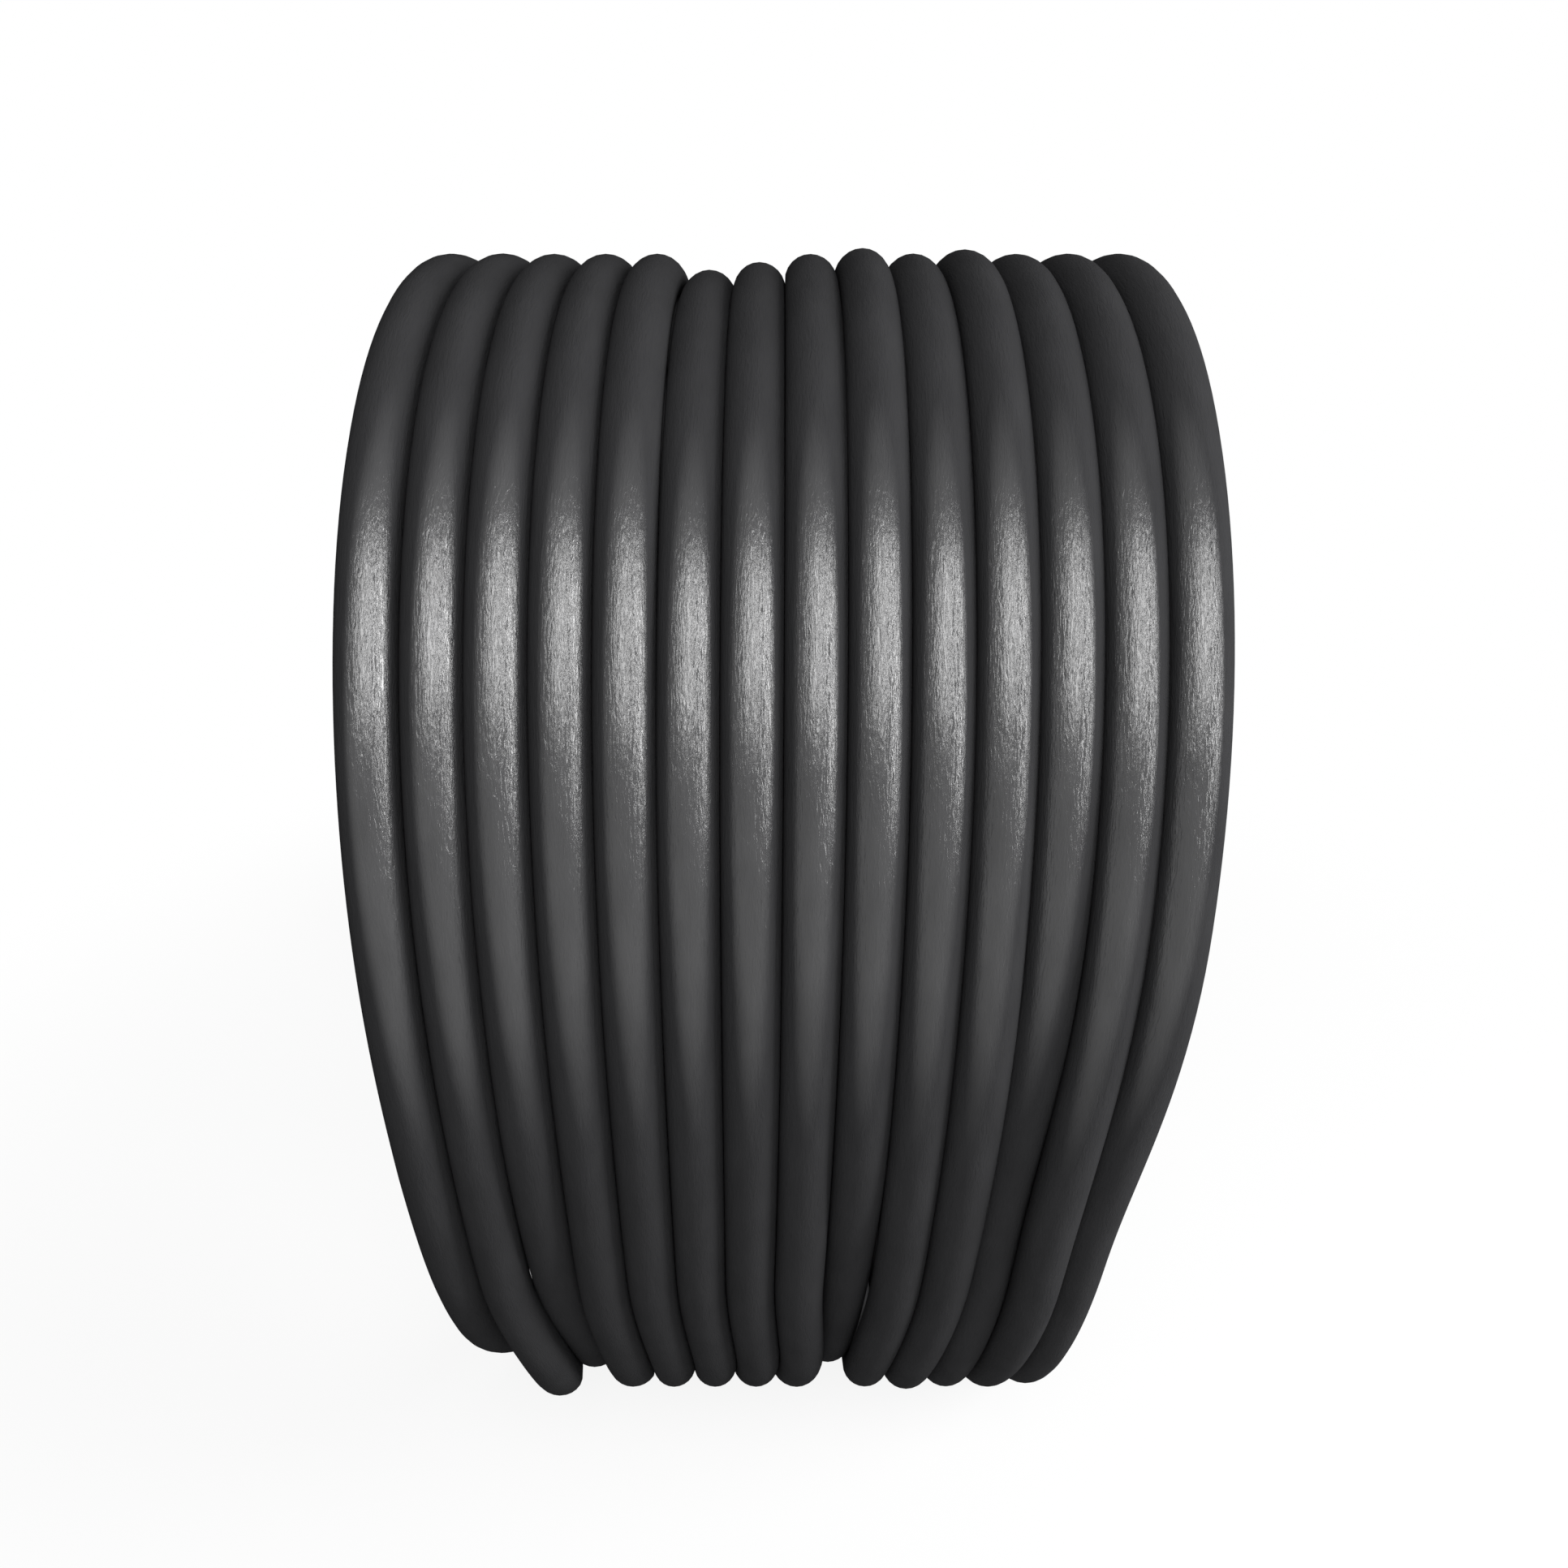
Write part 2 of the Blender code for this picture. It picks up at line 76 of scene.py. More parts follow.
COIL_RADIUS = 0.1710  # mean radius of the turns' centre line
OVAL = 0.081  # how much the coil is drawn out, as a share of its radius
OVAL_ANGLE = 70.0  # degrees above the front, where its long axis points
LOBE = 0.037  # a threefold unevenness, as a share of the radius
LOBE_ANGLE = 59.0
BACK_FILL = 0.0120  # the back stands out by this much more
BACK_ANGLE = 145.0
BACK_REACH = 55.0
BED_INSET = 0.0087  # how much nearer to the axis than the mean radius the turns lie flat
BED_DROP = COIL_RADIUS - BED_INSET
BED_BLEND = 0.0067  # height over which the round section runs into the flat bed

START_ANGLE = 0.0  # first and last angle of the regular turns, in degrees
END_ANGLE = 150.0
LANE_SHIFT = 0.195  # places the turns about the middle when seen from the front
WEAVE = 0.2  # share of a pitch that the step sideways keeps for the back
WEAVE_ANGLE = 20.0

# Single turns that stray from the even winding: turn, angle, reach to either side in degrees,
# distance outwards and distance to the right in hose diameters.
STRAYS = (
    (1, 30.0, 55.0, 0.06, -0.01),
    (6, 78.0, 50.0, -0.31, 0.0),
    (7, 78.0, 45.0, -0.16, 0.0),
    (9, 80.0, 45.0, 0.11, 0.0),
    (11, 80.0, 45.0, 0.08, 0.0),
    (2, -42.0, 25.0, 0.25, 0.51),
    (3, -43.0, 50.0, -0.52, 0.0),
    (3, -42.0, 25.0, 0.0, 0.23),
    (4, -42.0, 25.0, 0.0, 0.22),
    (5, -42.0, 25.0, 0.0, 0.22),
    (6, -42.0, 25.0, 0.0, 0.22),
    (7, -42.0, 25.0, 0.0, 0.22),
    (8, -42.0, 25.0, 0.0, 0.22),
    (9, -40.0, 50.0, -0.70, 0.0),
    (10, -42.0, 25.0, 0.0, -0.20),
    (11, -42.0, 25.0, 0.06, -0.20),
    (12, -42.0, 25.0, 0.0, -0.18),
    (12, -6.0, 48.0, -0.47, 0.0),
    (12, -10.0, 34.0, 0.0, -0.09),
    (13, -42.0, 25.0, 0.0, -0.17),
    (13, -8.0, 34.0, 0.08, -0.22),
    (14, -42.0, 25.0, 0.0, -0.16),
    (14, -20.0, 46.0, -0.35, 0.0),
    (14, -10.0, 34.0, 0.0, -0.27),
)

# Single turns that are squeezed wider where their neighbours leave them room: turn, angle, reach and
# how much the half width grows.
SPREADS = ((3, -45.0, 45.0, 0.0007), (4, -45.0, 45.0, 0.0007), (2, -45.0, 35.0, 0.0003))

# The extruded hose's unevenness: length of each wave over 2 pi, and its turns about the hose.
SWELLS = ((0.0371, 1), (0.0913, -2), (0.0177, 3))
SWELL_DEPTH = 0.00003
HELD_REACH = 0.025  # how far from each end the hose stays as slim as its ferrule holds it
FREE_REACH = 0.060  # and from where on it has its full size
BORE_STEP_SHARE = 3.3  # how much further apart the bore's rings are than the skin's

# --- couplings, measured along each coupling's axis from the end of the hose ---------------------
FIT_GAP = 0.0003  # between pieces that touch
THREAD_OD = 0.0266  # 3/4 in garden hose thread
THREAD_PITCH = 0.002209  # 11.5 threads to the inch
THREAD_DEPTH = 0.0011
THREAD_CREST = 0.22  # share of a groove's wave that is cut flat, on the crest and at the root

FERRULE_LENGTH = 0.0200
FERRULE_WALL = 0.0016
FERRULE_LIP = 0.0012
CRIMP_DEPTH = 0.0005
CRIMP_PLACES = (0.0060, 0.0130)  # middle of each pressed ring, from the hose's end
CRIMP_REACH = 0.0021
CRIMP_JAWS = 8
JAW_SHARE = 0.28  # how much of a crimp's depth comes and goes between two jaws
JAW_POWER = 0.6  # power of the cosine that it follows
FLARE = 0.00018  # how much the sleeve's back edge opens
FLARE_START = FERRULE_LENGTH - 0.0015
FLARE_END = FERRULE_LENGTH - 0.0005
TAIL_LENGTH = 0.0180
TAIL_GAP = 0.0002  # between the tail and the hose's bore
TAIL_WALL = 0.00155
BARBS = (1, 2, 3)
BARB_DEPTH = 0.0005
BARB_DROP = 0.0003  # length over which a barb falls off
STEM_BORE = HOSE_BORE - 2 * TAIL_WALL
NECK_RADIUS = 0.0055
NECK_GAP = 0.0007  # between the neck and the nut that turns on it

SOCKET_GAP = 0.0004  # between the male thread and the nut's socket
SOCKET_RADIUS = THREAD_OD / 2 + SOCKET_GAP
GRIP_WALL = 0.0023
GRIP_RADIUS = SOCKET_RADIUS + GRIP_WALL  # nut and cap, over their ribs
GRIP_SKIN = SOCKET_RADIUS + 0.0015  # what lies further out is the outside of a grip
GRIP_RIBS = 12
RIB_DEPTH = 0.0008
RIB_EASE = (0.0016, 0.0034)  # a rib rises between these distances from the grip's edges
MOUTH_CHAMFER = 0.0006  # at the mouth of the nut and of the cap
NUT_START = 0.0022
NUT_END = 0.0220
NUT_BACK = 0.0025
NUT_THREAD_EASE = (0.0010, 0.0022)  # its thread rises between these distances from both ends
FLANGE_GAP = 0.0021  # between the flange and the nut's socket
FLANGE_RADIUS = SOCKET_RADIUS - FLANGE_GAP
FLANGE_START = NUT_START + NUT_BACK + FIT_GAP
FLANGE_END = FLANGE_START + 0.0032
DISC_RIM = 0.0041  # from the restrictor to the flange's edge
DISC_RADIUS = FLANGE_RADIUS - DISC_RIM
DISC_THICKNESS = 0.0016
DISC_HOLE = 0.0012
SEAL_GAP = 0.0010  # between a washer and the wall round it
WASHER_RADIUS = SOCKET_RADIUS - SEAL_GAP
WASHER_HOLE = 0.0070
WASHER_THICKNESS = 0.0030

MALE_START = 0.0040
MALE_END = 0.0160
MALE_CHAMFER = 0.0010
MALE_SHOULDER = 0.0010  # from the thread's start to its full width
MALE_RUN_OUT = (0.0016, 0.0030)  # the groove deepens between these distances from the start
MALE_LEAD_IN = 0.0006  # the groove fades out this near to the front
COLLAR_START = 0.0020
COLLAR_STEP = 0.0021  # from the collar up to the thread
COLLAR_RADIUS = THREAD_OD / 2 - COLLAR_STEP
MALE_SKIN = COLLAR_RADIUS + 0.0006  # what lies further out is the outside of the male thread
MALE_WALL = 0.0048
MALE_BORE = THREAD_OD / 2 - MALE_WALL
BORE_TAPER = (0.0015, 0.0030)  # the stem's bore widens between these distances from the thread
CAP_START = 0.0044
CAP_END = 0.0222
CAP_WALL = 0.0026
CAP_MOUTH = 0.0005  # how much wider than its thread the cap's mouth is
CAP_FACE_INSET = 0.0005  # from the rim back to the face
CAP_FACE_RADIUS = 0.0105
CAP_RIM_RADIUS = 0.0112
CAP_THREAD_START = MALE_START + 0.0022
CAP_THREAD_EASE = (0.0014, 0.0026)  # its ridge rises between these distances from both ends
CAP_RIDGE = 0.92  # height of the cap's ridge, as a share of the groove's depth
CAP_WASHER_HOLE = 0.0060

INLET_X = -0.0650
INLET_END_Y = 0.0080  # where the hose ends in its coupling, from the middle of the bed
OUTLET_X = 0.0620
OUTLET_END_Y = -0.0070

# Where each end leaves the regular turns and dives inside: angle, then the distances inwards and
# aside in hose diameters.
INLET_RUN = (
    (-20.0, 0.16, 0.0),
    (-38.0, 0.55, 0.04),
    (-54.0, 1.05, 0.39),
    (-68.0, 1.50, 0.94),
)
OUTLET_RUN = (
    (170.0, 0.23, 0.0),
    (190.0, 0.62, 0.0),
    (208.0, 1.02, -0.16),
    (226.0, 1.17, -0.62),
    (246.0, 1.55, -1.25),
)

# --- meshes and stage ----------------------------------------------------------------------------
SHARP_ANGLE = math.radians(35.0)
CORNER_STEPS = 4  # sides of a rounded corner
SAME_PLACE = 0.000001  # points nearer than this become one
ON_WALL = 0.00005  # a point whose radius is this near to a wall's lies on the wall
CRIMP_STEP = 0.0005  # distance between the points of a crimped outline
THREAD_STEP = 0.00018  # and of a threaded one
STEM_ROUNDING = 0.00015
SEAL_ROUNDING = 0.0004
FLOOR_HALF = 12.0
FLOOR_MOTTLE = 0.97  # the floor's darkest colour, as a share of its own
SHADOW_REACH = 0.20  # the floor shows its shadow out to here
WHITE_REACH = 0.50  # and is even white from here on
NEAR_WHITE = 0.88  # share of even white near the coil

# --- finishes, with noise in cells a metre -------------------------------------------------------
MOTTLE = (0.82, 1.16)  # the rubber's darkest and lightest colour, as shares of its own
PATCH_RANGE = (0.3, 0.7)  # values of the patches' noise that count as least and most
RUBBER_ROUGHNESS = (0.62, 0.72)
GLOSS_FADE = (0.09, 0.33)  # values of Facing between which the gloss fades out
PATCH_GLOSS = (0.86, 1.0)  # share of the gloss that the patches leave
GLOSS_IOR = 1.65
BEND_CELLS = 130.0  # of the noise that bends the wrinkles
BEND_REACH = 0.0007  # how far it bends them
COARSE_CELLS = (0.45, 0.4, 0.4)  # cells of the coarser wrinkles, as a share of the fine ones'
COARSE_SHARE = 0.4  # their height, as a share of the fine ones'
PATCH_CELLS = (55.0, 160.0, 160.0)
DULL_RANGE = (0.42, 0.66)  # values of the noise between which dulling sets in
HANDLED = 0.8  # share of the dulling that a worn edge has lost
SPECK_CELLS = 2600.0
SPECK_SHARE = 0.35  # height of the specks, as a share of the tool marks'
TOOL_MARK_CELLS = 5200.0
SLEEVE_BRASS = (0.22, 0.00001)  # roughness, and depth of the tool marks
TURNED_BRASS = (0.20, 0.000012)
DULL_ROUGHNESS = 0.22  # added where brass has dulled
MARK_ROUGHNESS = 0.10  # and by the tool marks
DUST_CELLS = 210.0
DUST_SHARE = 0.30  # how much of the pale colour shows where dust lies
RUBBED_SHARE = 0.45  # and on a worn edge
PALE_LIFT = 0.006  # added to the pale colour
DUST_ROUGHNESS = 0.12  # added where dust lies
LARGE_GRAIN_CELLS = 320.0
LARGE_GRAIN_SHARE = 0.5  # height of the large grain, as a share of the small grain's
FLOOR_CELLS = 90.0


# --- sizes and colours that a user may change ----------------------------------------------------
def a_number(name, description, default, low, high, **kind):
    """A number between two limits, with its unit or subtype where one fits."""
    return bpy.props.FloatProperty(
        name=name, description=description, default=default, min=low, max=high, **kind
    )


def a_length(name, description, default, low, high):
    """A length in metres, shown to a hundredth of a millimetre."""
    return a_number(name, description, default, low, high, precision=5, subtype="DISTANCE", unit="LENGTH")


def an_angle(name, description, degrees):
    """An angle, given in degrees and kept in radians."""
    return bpy.props.FloatProperty(
        name=name, description=description, default=math.radians(degrees), subtype="ANGLE", unit="ROTATION"
    )


def a_colour(name, description, default):
    """A colour as red, green and blue from 0 to 1."""
    return bpy.props.FloatVectorProperty(
        name=name, description=description, default=default, min=0.0, max=1.0, subtype="COLOR"
    )


class SOAKER_PG_hose(bpy.types.PropertyGroup):
    """The hose's own sizes and finish."""

    height: a_length("Height", "Diameter of the hose square to the coil's face", 0.0130, 0.008, 0.0132)
    width: a_length("Width", "Diameter along the coil's axis, before turns press flat", 0.0135, 0.008, 0.0138)
    ring_step: a_length("Ring step", "Distance from one ring of the skin to the next", 0.0051, 0.004, 0.02)
    sides: bpy.props.IntProperty(
        name="Sides", description="Faces round the hose", default=24, min=12, max=32
    )
    colour: a_colour("Rubber", "Colour of the porous rubber", (0.023, 0.023, 0.024))
    wrinkle_length: a_length("Wrinkle length", "Length of the fine wrinkles", 0.0030, 0.001, 0.05)
    wrinkle_width: a_length("Wrinkle width", "Width of the fine wrinkles", 0.0005, 0.0001, 0.01)
    wrinkle_depth: a_length("Wrinkle depth", "Depth of the fine wrinkles", 0.00019, 0.0, 0.002)
    gloss: a_number("Gloss", "Strength of the skin's coat, seen square on", 0.88, 0.0, 1.0, subtype="FACTOR")
    gloss_roughness: a_number("Gloss roughness", "Roughness of the coat", 0.20, 0.0, 1.0, subtype="FACTOR")


class SOAKER_PG_couplings(bpy.types.PropertyGroup):
    """Finish and fineness of the couplings."""

    sides: bpy.props.IntProperty(
        name="Sides", description="Faces round each turned piece", default=120, min=48, max=240
    )
    rounding: a_length("Edge rounding", "How far the turned edges are broken", 0.0003, 0.00005, 0.001)
    brass: a_colour("Brass", "Colour of the turned brass", (0.60, 0.44, 0.20))
    sleeve: a_colour("Sleeve brass", "Colour of the crimped sleeves", (0.62, 0.47, 0.23))
    tarnish: a_colour("Tarnish", "Colour of the brass where it has dulled", (0.27, 0.17, 0.07))
    cap: a_colour("Cap plastic", "Colour of the moulded cap", (0.030, 0.030, 0.031))
    disc: a_colour("Restrictor plastic", "Colour of the flow restrictor", (0.75, 0.75, 0.72))
    washer: a_colour("Washer rubber", "Colour of the sealing washers", (0.050, 0.050, 0.050))


class SOAKER_PG_stage(bpy.types.PropertyGroup):
    """Camera, floor and lamps."""

    lens: a_number("Lens", "Focal length on a 36 mm sensor, in millimetres", 29.37, 10.0, 200.0)
    tilt: an_angle("Tilt", "How far the camera looks down", 32.0)
    camera_back: a_length("Camera distance", "From the coil's axis forwards to the camera", 0.38712, 0.1, 5.0)
    camera_up: a_length("Camera height", "From the coil's axis up to the camera", 0.22168, 0.0, 5.0)
    camera_aside: a_length("Camera aside", "From the coil's middle to the camera", 0.0006, -1.0, 1.0)
    shift: a_number("Shift", "Upward shift of the frame, as a share of its width", 0.08, -0.5, 0.5)
    floor: a_colour("Floor", "Colour of the floor", (0.62, 0.62, 0.62))
    main_power: a_number("Main lamp", "Power of the wide softbox", 14.0, 0.0, 5000.0, unit="POWER")
    main_width: a_length("Main width", "Width of the wide softbox", 0.66, 0.1, 10.0)
    main_depth: a_length("Main depth", "Height of the wide softbox's face", 0.80, 0.1, 10.0)
    main_height: an_angle("Main angle", "Height of the wide softbox over the horizon", 46.5)
    main_turn: an_angle("Main turn", "Turn of the wide softbox to the right of the front", 4.0)
    side_power: a_number("Side lamp", "Power of the tall softbox", 23.5, 0.0, 5000.0, unit="POWER")
    side_width: a_length("Side width", "Width of the tall softbox", 0.42, 0.1, 10.0)
    side_depth: a_length("Side depth", "Height of the tall softbox's face", 1.15, 0.1, 10.0)
    side_height: an_angle("Side angle", "Height of the tall softbox over the horizon", 22.0)
    side_turn: an_angle("Side turn", "Turn of the tall softbox to the right of the front", 71.0)
    lamp_distance: a_length("Lamp distance", "From the coil's axis to each softbox", 1.15, 0.3, 10.0)
    room: a_number("Room light", "Strength of the even light from all sides", 0.10, 0.0, 2.0)


# --- the winding ---------------------------------------------------------------------------------
def hump(distance, reach):
    """Square of a cosine: 1 in the middle, 0 at reach and beyond."""
    near = np.abs(distance) < reach
    return np.where(near, np.cos(np.pi / 2 * distance / reach) ** 2, 0.0)


def section_radius(angle):
    """Mean radius times one plus a twofold and a threefold cosine, with a hump at the back."""
    turned = np.mod(angle, 360.0)
    share = 1.0 + OVAL * np.cos(np.radians(2 * (turned - OVAL_ANGLE)))
    share = share + LOBE * np.cos(np.radians(3 * (turned - LOBE_ANGLE)))
    return COIL_RADIUS * share + BACK_FILL * hump(turned - BACK_ANGLE, BACK_REACH)


def settle(height):
    """Height over the axis: as it was high up, level with the bed low down, a parabola between."""
    over = height + BED_DROP
    blended = (over + BED_BLEND) ** 2 / (4 * BED_BLEND) - BED_DROP
    low = np.where(over < -BED_BLEND, -BED_DROP, blended)
    return np.where(over > BED_BLEND, height, low)


def turn_count(turn, angle):
    """How far along the winding a place is, in turns. Turn 1 passes the front at angle 0."""
    return turn - 1 + (angle + 90.0) / 360.0


def winding(count, inwards=0.0, aside=0.0):
    """Points of the winding about the coil's axis.

    The angle is 360 degrees times the count, less 90. The point stands at the section's radius,
    plus the humps of the turns that stray, and moves one pitch to the right a turn, less the weave,
    which is one minus a cosine. The two distances, inwards and aside, move it from there.
    """
    count = np.asarray(count, dtype=float)
    angle = 360.0 * count - 90.0
    outwards = -np.asarray(inwards) + np.zeros_like(count)
    lane = np.asarray(aside) + np.zeros_like(count)
    for turn, at, reach, stray_out, stray_aside in STRAYS:
        share = hump(360.0 * (count - turn_count(turn, at)), reach)
        outwards = outwards + stray_out * HOSE_OD * share
        lane = lane + stray_aside * HOSE_OD * share
    radius = section_radius(angle) + outwards
    weave = WEAVE * (1 - np.cos(np.radians(angle - WEAVE_ANGLE)))
    lane = lane + PITCH * (count - TURNS / 2 + LANE_SHIFT - weave)
    across = -radius * np.cos(np.radians(angle))
    height = radius * np.sin(np.radians(angle))
    return np.stack([lane, across, settle(height - inwards) + inwards], axis=-1)


def smooth_through(points, steps):
    """Cubic through each four neighbouring points, whose slope at a point is half the span of its
    neighbours."""
    row = np.vstack([2 * points[0] - points[1], points, 2 * points[-1] - points[-2]])
    a, b, c, d = (row[k : len(row) - 3 + k, None] for k in range(4))
    s = (np.arange(steps) / steps)[None, :, None]
    bend = (2 * a - 5 * b + 4 * c - d) * s**2 + (3 * b - a - 3 * c + d) * s**3
    curve = 0.5 * (2 * b + (c - a) * s + bend)
    return np.vstack([curve.reshape(-1, 3), points[-1:]])


def bezier(start, first, second, end, steps):
    """Cubic Bezier curve: the four points weighted by the cubic Bernstein polynomials."""
    s = np.linspace(0.0, 1.0, steps)[:, None]
    outer = (1 - s) ** 3 * start + s**3 * end
    return outer + 3 * s * (1 - s) ** 2 * first + 3 * s**2 * (1 - s) * second


def coupling_place(x, end_y):
    """Where a hose end lies, from the coil's axis: the grip rests on the bed of turns."""
    return np.array([x, end_y, -BED_DROP + HOSE_OD / 2 + FIT_GAP + GRIP_RADIUS])


def end_run(turn, places, x, end_y, direction):
    """Route from the regular turns into a coupling, whose last stretch runs straight along Y."""
    angle, inwards, aside = np.array(places).T
    route = winding(turn_count(turn, angle), inwards * HOSE_OD, aside * HOSE_OD)
    coarse = smooth_through(route, HEADING_STEPS)
    run = smooth_through(route, RUN_STEPS)[RUN_STEPS + 1 :]
    heading = coarse[-1] - coarse[-2]
    heading = heading / np.linalg.norm(heading)
    along = np.array([0.0, direction, 0.0])
    end = coupling_place(x, end_y)
    straight = end - STRAIGHT_SHARE * FERRULE_LENGTH * along
    handle = LEG_HANDLE * np.linalg.norm(straight - run[-1])
    leg = bezier(run[-1], run[-1] + handle * heading, straight - handle * along, straight, LEG_STEPS)
    return np.vstack([run, leg[1:], end])


def inlet_leg():
    """The stretch from the first regular turn to the inlet's end."""
    step = 360.0 / STEPS_PER_TURN
    leaving = ((START_ANGLE + step, 0.0, 0.0), (START_ANGLE, 0.0, 0.0), *INLET_RUN)
    return end_run(1, leaving, INLET_X, INLET_END_Y, 1)


def hose_route():
    """The whole centre line about the coil's axis, from the inlet's end to the outlet's end."""
    first = turn_count(1, START_ANGLE)
    last = turn_count(TURNS, END_ANGLE)
    turns = winding(np.linspace(first, last, FINE_STEPS))
    step = 360.0 / STEPS_PER_TURN
    inlet = inlet_leg()
    leaving = ((END_ANGLE - step, 0.0, 0.0), (END_ANGLE, 0.0, 0.0), *OUTLET_RUN)
    outlet = end_run(TURNS, leaving, OUTLET_X, OUTLET_END_Y, -1)
    return np.vstack([inlet[::-1], turns, outlet])


def placed_route():
    """The route moved to where the frame has the hose: the inlet ferrule's place gives the shift."""
    route = hose_route()
    low, high = (np.array(corner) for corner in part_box("inlet_ferrule"))
    middle = (low + high) / 2
    reach = high[1] - FIT_GAP - FERRULE_LIP
    return route + np.array([middle[0], reach, middle[2]]) - route[0]


def even_steps(points, step):
    """The same line as points at equal distances along it, and those distances."""
    lengths = np.linalg.norm(np.diff(points, axis=0), axis=1)
    along = np.concatenate([[0.0], np.cumsum(lengths)])
    places = np.linspace(0.0, along[-1], round(along[-1] / step) + 1)
    return np.stack([np.interp(places, along, axis) for axis in points.T], axis=-1), places


# --- surfaces ------------------------------------------------------------------------------------
def closed_surface(name, points):
    """Mesh of a grid of points that is joined to itself both ways, like a ring's surface.

    Each face joins four neighbours in the grid. The enclosed volume, a third of the sum of each
    corner's product with its face's normal, says which way round the faces go.
    """
    rows, columns = points.shape[:2]
    index = np.arange(rows * columns).reshape(rows, columns)
    down = np.roll(index, -1, axis=0)
    right = np.roll(index, -1, axis=1)
    both = np.roll(down, -1, axis=1)
    quads = np.stack([index, down, both, right], axis=-1).reshape(-1, 4)
    flat = points.reshape(-1, 3)
    corner = flat[quads]
    normal = np.cross(corner[:, 2] - corner[:, 0], corner[:, 3] - corner[:, 1])
    if np.sum(corner.mean(axis=1) * normal) < 0:
        quads = quads[:, ::-1]
    mesh = bpy.data.meshes.new(name)
    mesh.vertices.add(len(flat))
    mesh.vertices.foreach_set("co", flat.astype(np.float32).ravel())
    mesh.loops.add(quads.size)
    mesh.loops.foreach_set("vertex_index", quads.astype(np.int32).ravel())
    mesh.polygons.add(len(quads))
    mesh.polygons.foreach_set("loop_start", np.arange(0, quads.size, 4, dtype=np.int32))
    mesh.update(calc_edges=True)
    mesh.validate()
    return mesh


def add_piece(name, mesh, finish, body, *nodes):
    """Links a finished mesh as a piece that rides on a body and stands for those nodes."""
    mesh.shade_smooth()
    mesh.set_sharp_from_angle(angle=SHARP_ANGLE)
    mesh.materials.append(finish)
    piece = bpy.data.objects.new(name, mesh)
    bpy.context.scene.collection.objects.link(piece)
    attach(piece, body)
    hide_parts(*nodes)
    return piece


def set_attribute(mesh, name, values):
    """Stores one vector or one number for each vertex."""
    kind = "FLOAT_VECTOR" if values.ndim > 1 else "FLOAT"
    layer = mesh.attributes.new(name, kind, "POINT")
    layer.data.foreach_set("vector" if values.ndim > 1 else "value", values.astype(np.float32).ravel())


def round_axis(sides):
    """Equal steps of angle round an axis."""
    return np.arange(sides) * 2 * np.pi / sides


def carried_rings(points, width, height, sides, flat):
    """Ellipses carried along a line, one ring of points for each point of the line.

    Each ring stands square to the line. Its first direction is the coil's axis, less its share along
    the line, and its second direction is square to both and points out of the coil. Width and height
    are the half sizes in those two directions. The width is cut off flat at the distance given.
    """
    ahead = np.gradient(points, axis=0)
    ahead = ahead / np.linalg.norm(ahead, axis=1, keepdims=True)
    aside = np.array([1.0, 0.0, 0.0]) - ahead[:, :1] * ahead
    aside = aside / np.linalg.norm(aside, axis=1, keepdims=True)
    outwards = np.cross(aside, ahead)
    angle = round_axis(sides)
    across = np.clip(width * np.cos(angle)[None], -flat, flat)[..., None] * aside[:, None]
    return points[:, None] + across + (height * np.sin(angle)[None])[..., None] * outwards[:, None]


def swell(along, angle):
    """Unevenness of an extruded hose: a sum of slow sines along it, each turning about it."""
    return SWELL_DEPTH * sum(np.sin(along / wave + turns * angle) for wave, turns in SWELLS)


def spread(along):
    """How much wider the hose is at each place along it: a squared cosine for each of SPREADS."""
    start = np.linalg.norm(np.diff(inlet_leg(), axis=0), axis=1).sum()
    counts = np.linspace(turn_count(1, START_ANGLE), turn_count(TURNS, END_ANGLE), FINE_STEPS)
    steps = np.linalg.norm(np.diff(winding(counts), axis=0), axis=1)
    count = np.interp(along, start + np.concatenate([[0.0], np.cumsum(steps)]), counts)
    rows = [more * hump(360.0 * (count - turn_count(turn, at)), reach) for turn, at, reach, more in SPREADS]
    return np.sum(rows, axis=0)


def hose_mesh(route, settings):
    """The skin and the bore of the hose as one closed surface.

    The outer rings run from the inlet to the outlet and the bore's rings run back. Neighbouring
    turns meet on a flat, half a pitch from each centre line, and the ground flattens the underside.
    Near both ends the ferrules hold the hose round and slimmer.
    """
    outer, along = even_steps(route, settings.ring_step)
    inner, back = even_steps(route, settings.ring_step * BORE_STEP_SHARE)
    angle = round_axis(settings.sides)
    uneven = swell(along[:, None], angle[None])
    free = fade(np.minimum(along, along[-1] - along), HELD_REACH, FREE_REACH)[:, None]
    slim = HOSE_OD / 2
    width = slim + free * (settings.width / 2 - slim + uneven + spread(along)[:, None])
    height = slim + free * (settings.height / 2 - slim + uneven)
    skin = carried_rings(outer, width, height, settings.sides, PITCH / 2)
    skin[..., 2] = np.maximum(skin[..., 2], FIT_GAP)
    open_bore = np.full((len(inner), 1), HOSE_BORE / 2)
    bore = carried_rings(inner, open_bore, open_bore, settings.sides, PITCH / 2)
    mesh = closed_surface("porous_hose", np.vstack([skin, bore[::-1]]))
    lengthwise = np.concatenate([along, back[::-1]])[:, None] + np.zeros((1, len(angle)))
    half = np.concatenate([np.full(len(outer), slim), np.full(len(inner), HOSE_BORE / 2)])[:, None]
    place = np.stack([lengthwise, half * np.cos(angle), half * np.sin(angle)], axis=-1)
    set_attribute(mesh, "hose_place", place.reshape(-1, 3))
    return mesh


